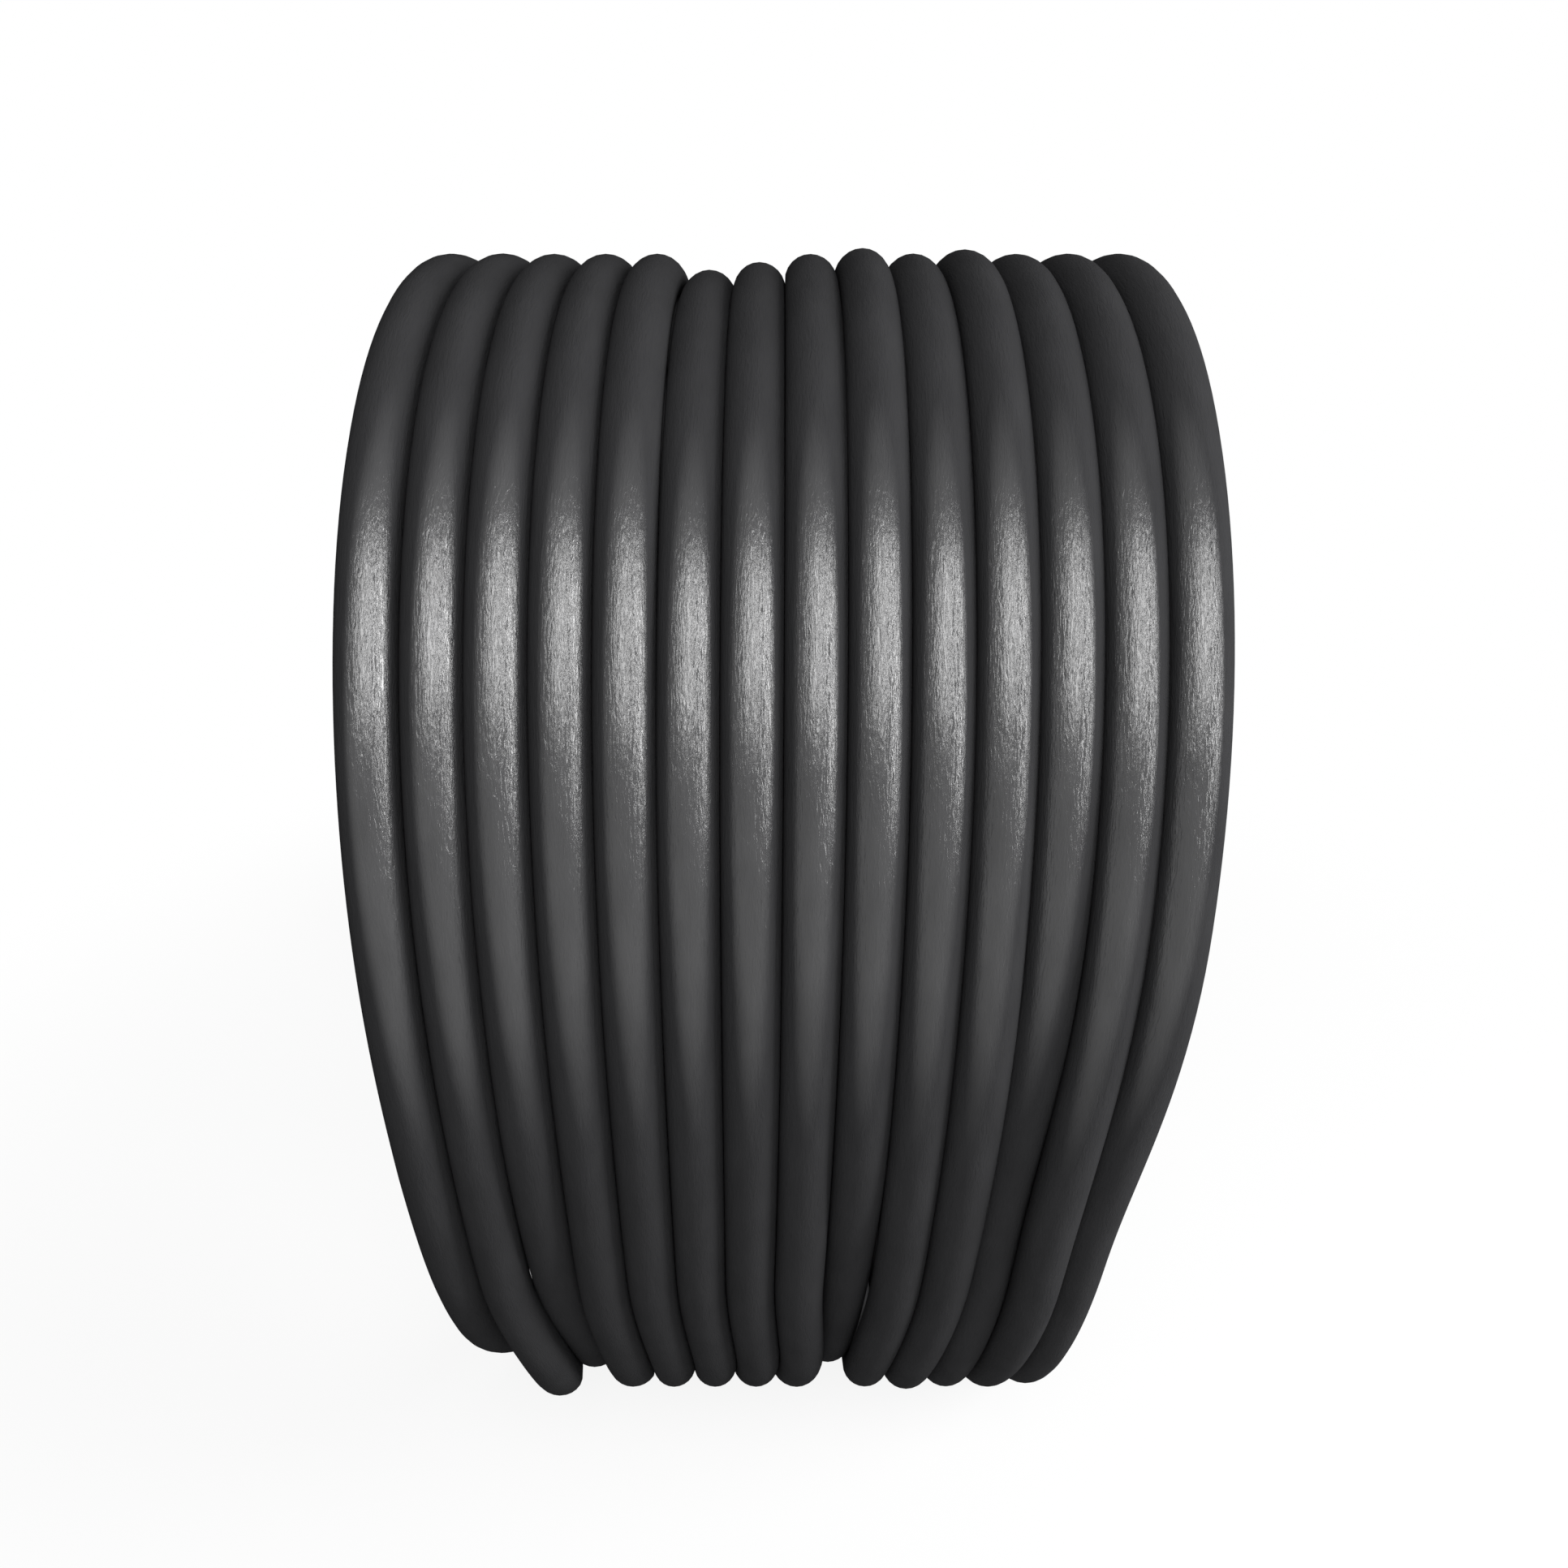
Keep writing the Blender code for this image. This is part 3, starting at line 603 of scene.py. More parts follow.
def rounded(profile, radius):
    """Closed outline whose corners are parabolas, from one radius before a corner to one after it,
    and never further than a third of the side. Also gives how near each point is to its corner."""
    corner = np.array(profile, dtype=float)
    before = np.roll(corner, 1, axis=0) - corner
    after = np.roll(corner, -1, axis=0) - corner
    long_before = np.linalg.norm(before, axis=1, keepdims=True)
    long_after = np.linalg.norm(after, axis=1, keepdims=True)
    start = corner + before / long_before * np.minimum(radius, long_before / 3)
    end = corner + after / long_after * np.minimum(radius, long_after / 3)
    s = np.linspace(0.0, 1.0, CORNER_STEPS + 1)[None, :, None]
    arc = (1 - s) ** 2 * start[:, None] + 2 * s * (1 - s) * corner[:, None] + s**2 * end[:, None]
    wear = np.tile(np.sin(np.pi * s[0, :, 0]), len(corner))
    return arc.reshape(-1, 2), wear


def filled(outline, wear, step):
    """The same closed outline with more points, so that none lies further than step from the next."""
    ring = np.vstack([outline, outline[:1]])
    along = np.concatenate([[0.0], np.cumsum(np.linalg.norm(np.diff(ring, axis=0), axis=1))])
    places = np.union1d(along, np.arange(0.0, along[-1], step))[:-1]
    worn = np.interp(places, along, np.append(wear, wear[0]))
    return np.stack([np.interp(places, along, axis) for axis in ring.T], axis=-1), worn


def thread_form(place, angle, start):
    """Groove of a right-hand 60 degree thread, 0 on the crest and 1 at the root.

    The place less one pitch a turn, as a share of the pitch, gives a triangle wave, whose top and
    bottom are cut flat.
    """
    phase = np.mod((place - start) / THREAD_PITCH - angle / (2 * np.pi), 1.0)
    wave = np.abs(2 * phase - 1)
    return np.clip((wave - THREAD_CREST) / (1 - 2 * THREAD_CREST), 0.0, 1.0)


def fade(place, start, end):
    """0 before start, 1 after end, and a smooth step between."""
    share = np.clip((place - start) / (end - start), 0.0, 1.0)
    return share * share * (3 - 2 * share)


def within(place, start, end, none, full):
    """0 outside two places and 1 between them, with a smooth step inside each, from the distance
    where there is none of it to the distance where it is full."""
    return fade(place, start + none, start + full) * (1 - fade(place, end - full, end - none))


def turned_mesh(name, profile, end, settings, relief=None, step=None, rounding=None):
    """A closed profile of (radius, place) turned about the coupling's axis.

    A relief gives the change of radius from the radius, the place and the angle round the axis.
    The axis runs out of the hose's end, along the end's direction.
    """
    outline, wear = rounded(profile, rounding or settings.rounding)
    if step:
        outline, wear = filled(outline, wear, step)
    angle = round_axis(settings.sides)
    radius, place = outline[:, :1], outline[:, 1:]
    change = relief(radius, place, angle[None]) if relief else 0.0
    grown = radius + change + np.zeros_like(angle)[None]
    point, direction = end
    x = grown * np.cos(angle)
    out = place + np.zeros_like(x)
    up = -direction * grown * np.sin(angle)
    local = np.stack([x, direction * out, up], axis=-1)
    mesh = closed_surface(name, local + point)
    set_attribute(mesh, "edge_wear", np.repeat(wear, settings.sides))
    return mesh


def close_on_axis(mesh):
    """Merges the points that meet on the axis and deletes what is left there without a face."""
    work = bmesh.new()
    work.from_mesh(mesh)
    bmesh.ops.remove_doubles(work, verts=work.verts, dist=SAME_PLACE)
    bmesh.ops.delete(work, geom=[vert for vert in work.verts if not vert.link_faces], context="VERTS")
    bmesh.ops.delete(work, geom=[edge for edge in work.edges if not edge.link_faces], context="EDGES")
    work.to_mesh(mesh)
    work.free()


# --- profiles and reliefs of the couplings -------------------------------------------------------
def ferrule_profile():
    """A sleeve round the hose, with a lip in front of the hose's end."""
    inner = HOSE_OD / 2 + FIT_GAP
    outer = inner + FERRULE_WALL
    lip = NECK_RADIUS + FIT_GAP
    front = FIT_GAP + FERRULE_LIP
    back = FIT_GAP - FERRULE_LENGTH
    return ((outer, front), (outer, back), (inner, back), (inner, FIT_GAP), (lip, FIT_GAP), (lip, front))


def crimp_relief(radius, place, angle):
    """Two pressed rings, a squared cosine deep along the axis and deepest under the middle of each
    jaw, and a back edge that flares a little."""
    outside = radius > HOSE_OD / 2 + FIT_GAP + FERRULE_WALL / 2
    pressed = sum(hump(place + middle, CRIMP_REACH) for middle in CRIMP_PLACES)
    jaws = 1 - JAW_SHARE + JAW_SHARE * np.abs(np.cos(angle * CRIMP_JAWS / 2)) ** JAW_POWER
    flare = FLARE * fade(-place, FLARE_START, FLARE_END)
    return np.where(outside, -CRIMP_DEPTH * pressed * jaws + flare, 0.0)


def tail_profile():
    """The barbed tail inside the hose: each barb rises slowly and drops at once."""
    full = HOSE_BORE / 2 - TAIL_GAP
    thin = full - BARB_DEPTH
    step = TAIL_LENGTH / (len(BARBS) + 1)
    barbs = [(full, -i * step + BARB_DROP) for i in BARBS]
    feet = [(thin, -i * step) for i in BARBS]
    teeth = [point for pair in zip(barbs, feet) for point in pair]
    return [(full, FIT_GAP), *teeth, (thin, -TAIL_LENGTH)]


def inlet_stem_profile():
    """Tail, neck and the flange that the nut turns on, with a seat for the restrictor."""
    bore = STEM_BORE / 2
    seat = FLANGE_END - DISC_THICKNESS - FIT_GAP
    recess = DISC_RADIUS + FIT_GAP
    flange = [(recess, FLANGE_END), (FLANGE_RADIUS, FLANGE_END), (FLANGE_RADIUS, FLANGE_START)]
    neck = [(NECK_RADIUS, FLANGE_START), (NECK_RADIUS, FIT_GAP)]
    return flange + neck + tail_profile() + [(bore, -TAIL_LENGTH), (bore, seat), (recess, seat)]


def outlet_stem_profile():
    """Tail, neck, collar and the male end."""
    bore = STEM_BORE / 2
    thread = THREAD_OD / 2
    shoulder = MALE_START + MALE_SHOULDER
    taper, widened = (MALE_START + distance for distance in BORE_TAPER)
    tip = [(MALE_BORE, MALE_END), (thread - MALE_CHAMFER, MALE_END), (thread, MALE_END - MALE_CHAMFER)]
    collar = [(thread, shoulder), (COLLAR_RADIUS, shoulder), (COLLAR_RADIUS, COLLAR_START)]
    neck = [(NECK_RADIUS, COLLAR_START), (NECK_RADIUS, FIT_GAP)]
    inside = [(bore, -TAIL_LENGTH), (bore, taper), (MALE_BORE, widened)]
    return tip + collar + neck + tail_profile() + inside


def male_relief(radius, place, angle):
    """The male thread cut into the stem's outside. It runs out towards the collar."""
    cut = thread_form(place, angle, MALE_START) * fade(place - MALE_START, *MALE_RUN_OUT)
    lead_in = 1 - fade(place, MALE_END - MALE_LEAD_IN, MALE_END)
    return np.where(radius > MALE_SKIN, -THREAD_DEPTH * cut * lead_in, 0.0)


def grip_relief(radius, place, angle, start, end):
    """Rounded ribs on the grip, a cosine for each rib, which stop short of both edges."""
    ribs = 0.5 - 0.5 * np.cos(GRIP_RIBS * angle)
    return np.where(radius > GRIP_SKIN, -RIB_DEPTH * ribs * within(place, start, end, *RIB_EASE), 0.0)


def nut_profile():
    """An open barrel whose back wall holds the stem's flange."""
    hole = NECK_RADIUS + NECK_GAP
    wall = NUT_START + NUT_BACK
    mouth = [(SOCKET_RADIUS + MOUTH_CHAMFER, NUT_END), (GRIP_RADIUS, NUT_END), (GRIP_RADIUS, NUT_START)]
    back = [(hole, NUT_START), (hole, wall), (SOCKET_RADIUS, wall)]
    return [*mouth, *back, (SOCKET_RADIUS, NUT_END - MOUTH_CHAMFER)]


def nut_relief(radius, place, angle):
    """Ribs outside and the female thread inside."""
    inside = np.abs(radius - SOCKET_RADIUS) < ON_WALL
    low = WASHER_THICKNESS + FLANGE_END + FIT_GAP
    along = within(place, low, NUT_END, *NUT_THREAD_EASE)
    thread = -THREAD_DEPTH * thread_form(place, angle, low) * along
    return np.where(inside, thread, grip_relief(radius, place, angle, NUT_START, NUT_END))


def cap_profile():
    """A barrel closed in front, whose face lies a little behind its rim. It starts on the axis."""
    inside = THREAD_OD / 2 + FIT_GAP
    axis = 0.0
    front = CAP_END - CAP_FACE_INSET
    back = CAP_END - CAP_WALL
    face = [(axis, front), (CAP_FACE_RADIUS, front), (CAP_RIM_RADIUS, CAP_END)]
    barrel = [(GRIP_RADIUS, CAP_END), (GRIP_RADIUS, CAP_START), (inside + CAP_MOUTH, CAP_START)]
    return face + barrel + [(inside, CAP_START + MOUTH_CHAMFER), (inside, back), (axis, back)]


def cap_relief(radius, place, angle):
    """Ribs outside, and inside the ridge that runs in the male thread's groove."""
    wall = THREAD_OD / 2 + FIT_GAP
    inside = np.abs(radius - wall) < ON_WALL
    along = within(place, CAP_THREAD_START, MALE_END, *CAP_THREAD_EASE)
    ridge = -CAP_RIDGE * THREAD_DEPTH * thread_form(place, angle, MALE_START) * along
    return np.where(inside, ridge, grip_relief(radius, place, angle, CAP_START, CAP_END))


def ring_profile(radius, hole, start, thickness):
    """A flat ring's section."""
    end = start + thickness
    return [(hole, end), (radius, end), (radius, start), (hole, start)]


# --- finishes ------------------------------------------------------------------------------------
def new_group(name, inputs, outputs):
    """A shader node group with its named sockets. Inputs are (name, kind, default)."""
    group = bpy.data.node_groups.new(name, "ShaderNodeTree")
    for label, kind, default in inputs:
        socket = group.interface.new_socket(label, in_out="INPUT", socket_type=kind)
        if default is not None:
            socket.default_value = default
    for label, kind in outputs:
        group.interface.new_socket(label, in_out="OUTPUT", socket_type=kind)
    return group, group.nodes.new("NodeGroupInput"), group.nodes.new("NodeGroupOutput")


def add_node(tree, kind, **values):
    """A node with its properties set."""
    node = tree.nodes.new(kind)
    for key, value in values.items():
        setattr(node, key, value)
    return node


def maths(tree, operation, first, second=None, third=None, clamp=False):
    """A Math node fed by sockets or numbers. Gives its output."""
    node = add_node(tree, "ShaderNodeMath", operation=operation, use_clamp=clamp)
    for socket, value in zip(node.inputs, (first, second, third)):
        if isinstance(value, bpy.types.NodeSocket):
            tree.links.new(value, socket)
        elif value is not None:
            socket.default_value = value
    return node.outputs[0]


def remap(tree, value, given, wanted):
    """A smooth remapping of a value from one range to another, held at its ends."""
    node = add_node(tree, "ShaderNodeMapRange", interpolation_type="SMOOTHSTEP")
    tree.links.new(value, node.inputs["Value"])
    for label, number in zip(("From Min", "From Max", "To Min", "To Max"), (*given, *wanted)):
        node.inputs[label].default_value = number
    return node.outputs["Result"]


def mixed(tree, factor, first, second):
    """A colour between two, which are sockets or colours."""
    node = add_node(tree, "ShaderNodeMix", data_type="RGBA")
    tree.links.new(factor, node.inputs["Factor"])
    colours = [socket for socket in node.inputs if socket.type == "RGBA"]
    for socket, value in zip(colours, (first, second)):
        if isinstance(value, bpy.types.NodeSocket):
            tree.links.new(value, socket)
        else:
            socket.default_value = (*value, 1.0)
    return next(socket for socket in node.outputs if socket.type == "RGBA")


def noise(tree, vector, scale, detail=3.0, roughness=0.5, distortion=0.0):
    """Value of a Noise texture."""
    node = add_node(tree, "ShaderNodeTexNoise")
    tree.links.new(vector, node.inputs["Vector"])
    node.inputs["Scale"].default_value = scale
    node.inputs["Detail"].default_value = detail
    node.inputs["Roughness"].default_value = roughness
    node.inputs["Distortion"].default_value = distortion
    return node.outputs["Fac"]


def stretched(tree, vector, scale):
    """A vector scaled on each axis by a number of cells a metre."""
    node = add_node(tree, "ShaderNodeVectorMath", operation="MULTIPLY")
    tree.links.new(vector, node.inputs[0])
    if isinstance(scale, bpy.types.NodeSocket):
        tree.links.new(scale, node.inputs[1])
    else:
        node.inputs[1].default_value = scale
    return node.outputs["Vector"]


def wrinkle_group():
    """Fine wrinkles along a hose: noise in long narrow cells, bent sideways by slower noise.

    Height is the sum of fine and coarser wrinkles, Patches a slow mottling of the same skin.
    """
    name = "Wrinkled skin"
    if name in bpy.data.node_groups:
        return bpy.data.node_groups[name]
    inputs = (("Place", "NodeSocketVector", None), ("Cells", "NodeSocketVector", (200.0, 1600.0, 1600.0)))
    outputs = (("Height", "NodeSocketFloat"), ("Patches", "NodeSocketFloat"))
    group, entry, leave = new_group(name, inputs, outputs)
    place = entry.outputs["Place"]
    bent = add_node(group, "ShaderNodeTexNoise")
    bent.inputs["Scale"].default_value = BEND_CELLS
    bent.inputs["Detail"].default_value = 2.0
    group.links.new(place, bent.inputs["Vector"])
    sway = add_node(group, "ShaderNodeVectorMath", operation="MULTIPLY_ADD")
    group.links.new(bent.outputs["Color"], sway.inputs[0])
    sway.inputs[1].default_value = (0.0, BEND_REACH, BEND_REACH)
    group.links.new(place, sway.inputs[2])
    narrow = stretched(group, sway.outputs["Vector"], entry.outputs["Cells"])
    fine = noise(group, narrow, 1.0, roughness=0.6, distortion=0.9)
    fewer = stretched(group, entry.outputs["Cells"], COARSE_CELLS)
    wide = stretched(group, sway.outputs["Vector"], fewer)
    coarse = noise(group, wide, 1.0, detail=2.0, distortion=0.8)
    group.links.new(maths(group, "MULTIPLY_ADD", coarse, COARSE_SHARE, fine), leave.inputs["Height"])
    patches = noise(group, stretched(group, place, PATCH_CELLS), 1.0)
    group.links.new(patches, leave.inputs["Patches"])
    return group


def dulling_group():
    """Where a surface has dulled: slow noise, held off the edges that handling keeps bright."""
    name = "Dulled with use"
    if name in bpy.data.node_groups:
        return bpy.data.node_groups[name]
    inputs = (
        ("Place", "NodeSocketVector", None),
        ("Scale", "NodeSocketFloat", 140.0),
        ("Wear", "NodeSocketFloat", 0.0),
    )
    outputs = (("Mask", "NodeSocketFloat"), ("Specks", "NodeSocketFloat"))
    group, entry, leave = new_group(name, inputs, outputs)
    cloud = add_node(group, "ShaderNodeTexNoise")
    cloud.inputs["Detail"].default_value = 5.0
    cloud.inputs["Roughness"].default_value = 0.62
    group.links.new(entry.outputs["Place"], cloud.inputs["Vector"])
    group.links.new(entry.outputs["Scale"], cloud.inputs["Scale"])
    cover = remap(group, cloud.outputs["Fac"], DULL_RANGE, (0.0, 1.0))
    kept = maths(group, "MULTIPLY_ADD", entry.outputs["Wear"], -HANDLED, 1.0, clamp=True)
    group.links.new(maths(group, "MULTIPLY", cover, kept), leave.inputs["Mask"])
    specks = noise(group, entry.outputs["Place"], SPECK_CELLS, detail=2.0, roughness=0.6)
    group.links.new(specks, leave.inputs["Specks"])
    return group


def grain_group():
    """Moulded grain: small cells of noise in two sizes, as a height."""
    name = "Moulded grain"
    if name in bpy.data.node_groups:
        return bpy.data.node_groups[name]
    inputs = (("Place", "NodeSocketVector", None), ("Scale", "NodeSocketFloat", 1500.0))
    group, entry, leave = new_group(name, inputs, (("Height", "NodeSocketFloat"),))
    small = add_node(group, "ShaderNodeTexNoise")
    small.inputs["Detail"].default_value = 3.0
    group.links.new(entry.outputs["Place"], small.inputs["Vector"])
    group.links.new(entry.outputs["Scale"], small.inputs["Scale"])
    large = noise(group, entry.outputs["Place"], LARGE_GRAIN_CELLS, detail=2.0)
    height = maths(group, "MULTIPLY_ADD", large, LARGE_GRAIN_SHARE, small.outputs["Fac"])
    group.links.new(height, leave.inputs["Height"])
    return group


def new_material(name):
    """A material with its Principled shader."""
    made = bpy.data.materials.new(name)
    made.use_nodes = True
    return made, made.node_tree, made.node_tree.nodes["Principled BSDF"]


def placed_group(tree, group, place, **values):
    """A group node fed with a place and plain values."""
    node = add_node(tree, "ShaderNodeGroup", node_tree=group)
    tree.links.new(place, node.inputs["Place"])
    for key, value in values.items():
        socket = node.inputs[key]
        if isinstance(value, bpy.types.NodeSocket):
            tree.links.new(value, socket)
        else:
            socket.default_value = value
    return node


def add_bump(tree, shader, height, distance):
    """A Bump node on the shader's normal. Gives the node."""
    bump = add_node(tree, "ShaderNodeBump")
    bump.inputs["Distance"].default_value = distance
    tree.links.new(height, bump.inputs["Height"])
    tree.links.new(bump.outputs["Normal"], shader.inputs["Normal"])
    return bump


def object_place(tree, centre=(0.0, 0.0, 0.0)):
    """Object coordinates, centred on the piece."""
    coordinates = add_node(tree, "ShaderNodeTexCoord")
    mapping = add_node(tree, "ShaderNodeMapping")
    mapping.inputs["Location"].default_value = [-value for value in centre]
    tree.links.new(coordinates.outputs["Object"], mapping.inputs["Vector"])
    return mapping.outputs["Vector"]


def hose_finish(settings):
    """Satin black porous rubber with fine wrinkles along it.

    The gloss lies on the skin as a coat. It is strongest where the skin is seen square on, and
    fades towards the rims, where the wrinkles hide each other.
    """
    made, tree, shader = new_material("porous_rubber")
    place = add_node(tree, "ShaderNodeAttribute", attribute_name="hose_place").outputs["Vector"]
    cells = (1 / settings.wrinkle_length, 1 / settings.wrinkle_width, 1 / settings.wrinkle_width)
    skin = placed_group(tree, wrinkle_group(), place, Cells=cells)
    patches = skin.outputs["Patches"]
    dark, light = ([share * value for value in settings.colour] for share in MOTTLE)
    tree.links.new(mixed(tree, patches, dark, light), shader.inputs["Base Color"])
    tree.links.new(remap(tree, patches, PATCH_RANGE, RUBBER_ROUGHNESS), shader.inputs["Roughness"])
    facing = add_node(tree, "ShaderNodeLayerWeight")
    facing.inputs["Blend"].default_value = 0.5
    gloss = remap(tree, facing.outputs["Facing"], GLOSS_FADE, (settings.gloss, 0.0))
    patchy = remap(tree, patches, PATCH_RANGE, PATCH_GLOSS)
    tree.links.new(maths(tree, "MULTIPLY", gloss, patchy), shader.inputs["Coat Weight"])
    shader.inputs["Coat Roughness"].default_value = settings.gloss_roughness
    shader.inputs["Coat IOR"].default_value = GLOSS_IOR
    shader.inputs["Specular IOR Level"].default_value = 0.0
    bump = add_bump(tree, shader, skin.outputs["Height"], settings.wrinkle_depth)
    tree.links.new(bump.outputs["Normal"], shader.inputs["Coat Normal"])
    return made


def brass_finish(name, colour, tarnish, centre, roughness, mark_depth):
    """Brass with fine tool marks round the piece, dulled in patches and bright on its edges.

    The marks are noise on one number: the distance along the axis plus the distance from it.
    """
    made, tree, shader = new_material(name)
    place = object_place(tree, centre)
    wear = add_node(tree, "ShaderNodeAttribute", attribute_name="edge_wear").outputs["Fac"]
    dulled = placed_group(tree, dulling_group(), place, Wear=wear)
    tree.links.new(mixed(tree, dulled.outputs["Mask"], colour, tarnish), shader.inputs["Base Color"])
    split = add_node(tree, "ShaderNodeSeparateXYZ")
    tree.links.new(place, split.inputs[0])
    across = maths(tree, "POWER", split.outputs["X"], 2.0)
    height = maths(tree, "POWER", split.outputs["Z"], 2.0)
    radius = maths(tree, "SQRT", maths(tree, "ADD", across, height))
    along = maths(tree, "ADD", split.outputs["Y"], radius)
    marks = add_node(tree, "ShaderNodeTexNoise", noise_dimensions="1D")
    marks.inputs["Scale"].default_value = TOOL_MARK_CELLS
    marks.inputs["Detail"].default_value = 2.0
    tree.links.new(along, marks.inputs["W"])
    rough = maths(tree, "MULTIPLY_ADD", dulled.outputs["Mask"], DULL_ROUGHNESS, roughness)
    rough = maths(tree, "MULTIPLY_ADD", marks.outputs["Fac"], MARK_ROUGHNESS, rough)
    tree.links.new(rough, shader.inputs["Roughness"])
    shader.inputs["Metallic"].default_value = 1.0
    bumps = maths(tree, "MULTIPLY_ADD", dulled.outputs["Specks"], SPECK_SHARE, marks.outputs["Fac"])
    add_bump(tree, shader, bumps, mark_depth)
    return made


def moulded_finish(name, colour, roughness, grain, depth, worn):
    """Moulded plastic or rubber: fine grain, a little dust in patches and paler edges.

    Grain is in cells a metre, and worn is how many times as light the pale colour is.
    """
    made, tree, shader = new_material(name)
    place = object_place(tree)
    wear = add_node(tree, "ShaderNodeAttribute", attribute_name="edge_wear").outputs["Fac"]
    dulled = placed_group(tree, dulling_group(), place, Scale=DUST_CELLS, Wear=wear)
    cells = placed_group(tree, grain_group(), place, Scale=grain)
    pale = [min(1.0, value * worn + PALE_LIFT) for value in colour]
    dusty = mixed(tree, maths(tree, "MULTIPLY", dulled.outputs["Mask"], DUST_SHARE), colour, pale)
    rubbed = mixed(tree, maths(tree, "MULTIPLY", wear, RUBBED_SHARE), dusty, pale)
    tree.links.new(rubbed, shader.inputs["Base Color"])
    rough = maths(tree, "MULTIPLY_ADD", dulled.outputs["Mask"], DUST_ROUGHNESS, roughness)
    tree.links.new(rough, shader.inputs["Roughness"])
    add_bump(tree, shader, cells.outputs["Height"], depth)
    return made


# --- the operators -------------------------------------------------------------------------------
def coupling_ends():
    """Each hose end as (point, direction of the coupling along Y)."""
    route = placed_route()
    return (route[0], 1.0), (route[-1], -1.0)


class SOAKER_OT_stage(bpy.types.Operator):
    """Camera, pale floor, two softboxes and even light from all sides"""

    bl_idname = "soaker.stage"
    bl_label = "Stage"

    def execute(self, context):
        settings = context.scene.soaker_stage
        axis = axis_place()
        add_camera(context.scene, settings, axis)
        add_floor(settings)
        main = (settings.main_width, settings.main_depth, settings.main_height, settings.main_turn)
        side = (settings.side_width, settings.side_depth, settings.side_height, settings.side_turn)
        add_softbox("main_softbox", settings.main_power, axis, settings.lamp_distance, *main)
        add_softbox("side_softbox", settings.side_power, axis, settings.lamp_distance, *side)
        light_room(context.scene, settings)
        context.scene.view_settings.view_transform = "Standard"
        return {"FINISHED"}


def axis_place():
    """Where the coil's axis lies: the route's own origin after it is placed."""
    return placed_route()[0] - hose_route()[0]


def add_camera(scene, settings, axis):
    """The camera stands before the middle of the coil and looks down at it."""
    camera = bpy.data.cameras.new("camera")
    camera.sensor_width = 36.0
    camera.lens = settings.lens
    camera.shift_y = settings.shift
    holder = bpy.data.objects.new("camera", camera)
    scene.collection.objects.link(holder)
    away = np.array([settings.camera_aside, -settings.camera_back, settings.camera_up])
    holder.location = axis + away
    holder.rotation_euler = (math.pi / 2 - settings.tilt, 0.0, 0.0)
    scene.camera = holder


def seen_directly(tree):
    """1 for what the camera, a gloss or a glass sees, and 0 for the light that comes from there."""
    path = add_node(tree, "ShaderNodeLightPath")
    seen = maths(tree, "ADD", path.outputs["Is Camera Ray"], path.outputs["Is Glossy Ray"])
    return maths(tree, "ADD", seen, path.outputs["Is Transmission Ray"], clamp=True)


def add_floor(settings):
    """A wide plain floor. What the camera, a gloss or a glass sees of it is mixed with even white:
    in part near the coil, which keeps its shadow, and wholly far off."""
    made, tree, shader = new_material("pale_floor")
    place = object_place(tree)
    grain = noise(tree, place, FLOOR_CELLS)
    dark = [FLOOR_MOTTLE * value for value in settings.floor]
    tree.links.new(mixed(tree, grain, dark, settings.floor), shader.inputs["Base Color"])
    shader.inputs["Roughness"].default_value = 0.9
    shader.inputs["Specular IOR Level"].default_value = 0.0
    distance = add_node(tree, "ShaderNodeVectorMath", operation="LENGTH")
    tree.links.new(place, distance.inputs[0])
    share = remap(tree, distance.outputs["Value"], (SHADOW_REACH, WHITE_REACH), (NEAR_WHITE, 1.0))
    white = add_node(tree, "ShaderNodeEmission")
    blend = add_node(tree, "ShaderNodeMixShader")
    tree.links.new(maths(tree, "MULTIPLY", seen_directly(tree), share), blend.inputs["Fac"])
    tree.links.new(shader.outputs["BSDF"], blend.inputs[1])
    tree.links.new(white.outputs["Emission"], blend.inputs[2])
    tree.links.new(blend.outputs["Shader"], tree.nodes["Material Output"].inputs["Surface"])
    mesh = bpy.data.meshes.new("floor")
    corners = [(x * FLOOR_HALF, y * FLOOR_HALF, 0.0) for x, y in ((-1, -1), (1, -1), (1, 1), (-1, 1))]
    mesh.from_pydata(corners, [], [(0, 1, 2, 3)])
    mesh.materials.append(made)
    floor = bpy.data.objects.new("floor", mesh)
    bpy.context.scene.collection.objects.link(floor)


def add_softbox(name, power, axis, distance, width, depth, height, turn):
    """An oval softbox turned towards the coil, at an angle over the horizon and one to the right."""
    lamp = bpy.data.lights.new(name, "AREA")
    lamp.shape = "ELLIPSE"
    lamp.size = width
    lamp.size_y = depth
    lamp.energy = power
    holder = bpy.data.objects.new(name, lamp)
    bpy.context.scene.collection.objects.link(holder)
    level = math.cos(height)
    away = np.array([level * math.sin(turn), -level * math.cos(turn), math.sin(height)])
    holder.location = axis + distance * away
    holder.rotation_euler = (math.pi / 2 - height, 0.0, turn)


def light_room(scene, settings):
    """Even light from all sides, and white where the camera, a gloss or a glass looks past the floor."""
    world = bpy.data.worlds.new("room")
    scene.world = world
    world.use_nodes = True
    tree = world.node_tree
    background = tree.nodes["Background"]
    background.inputs["Color"].default_value = (1.0, 1.0, 1.0, 1.0)
    strength = maths(tree, "MULTIPLY_ADD", seen_directly(tree), 1.0 - settings.room, settings.room)
    tree.links.new(strength, background.inputs["Strength"])


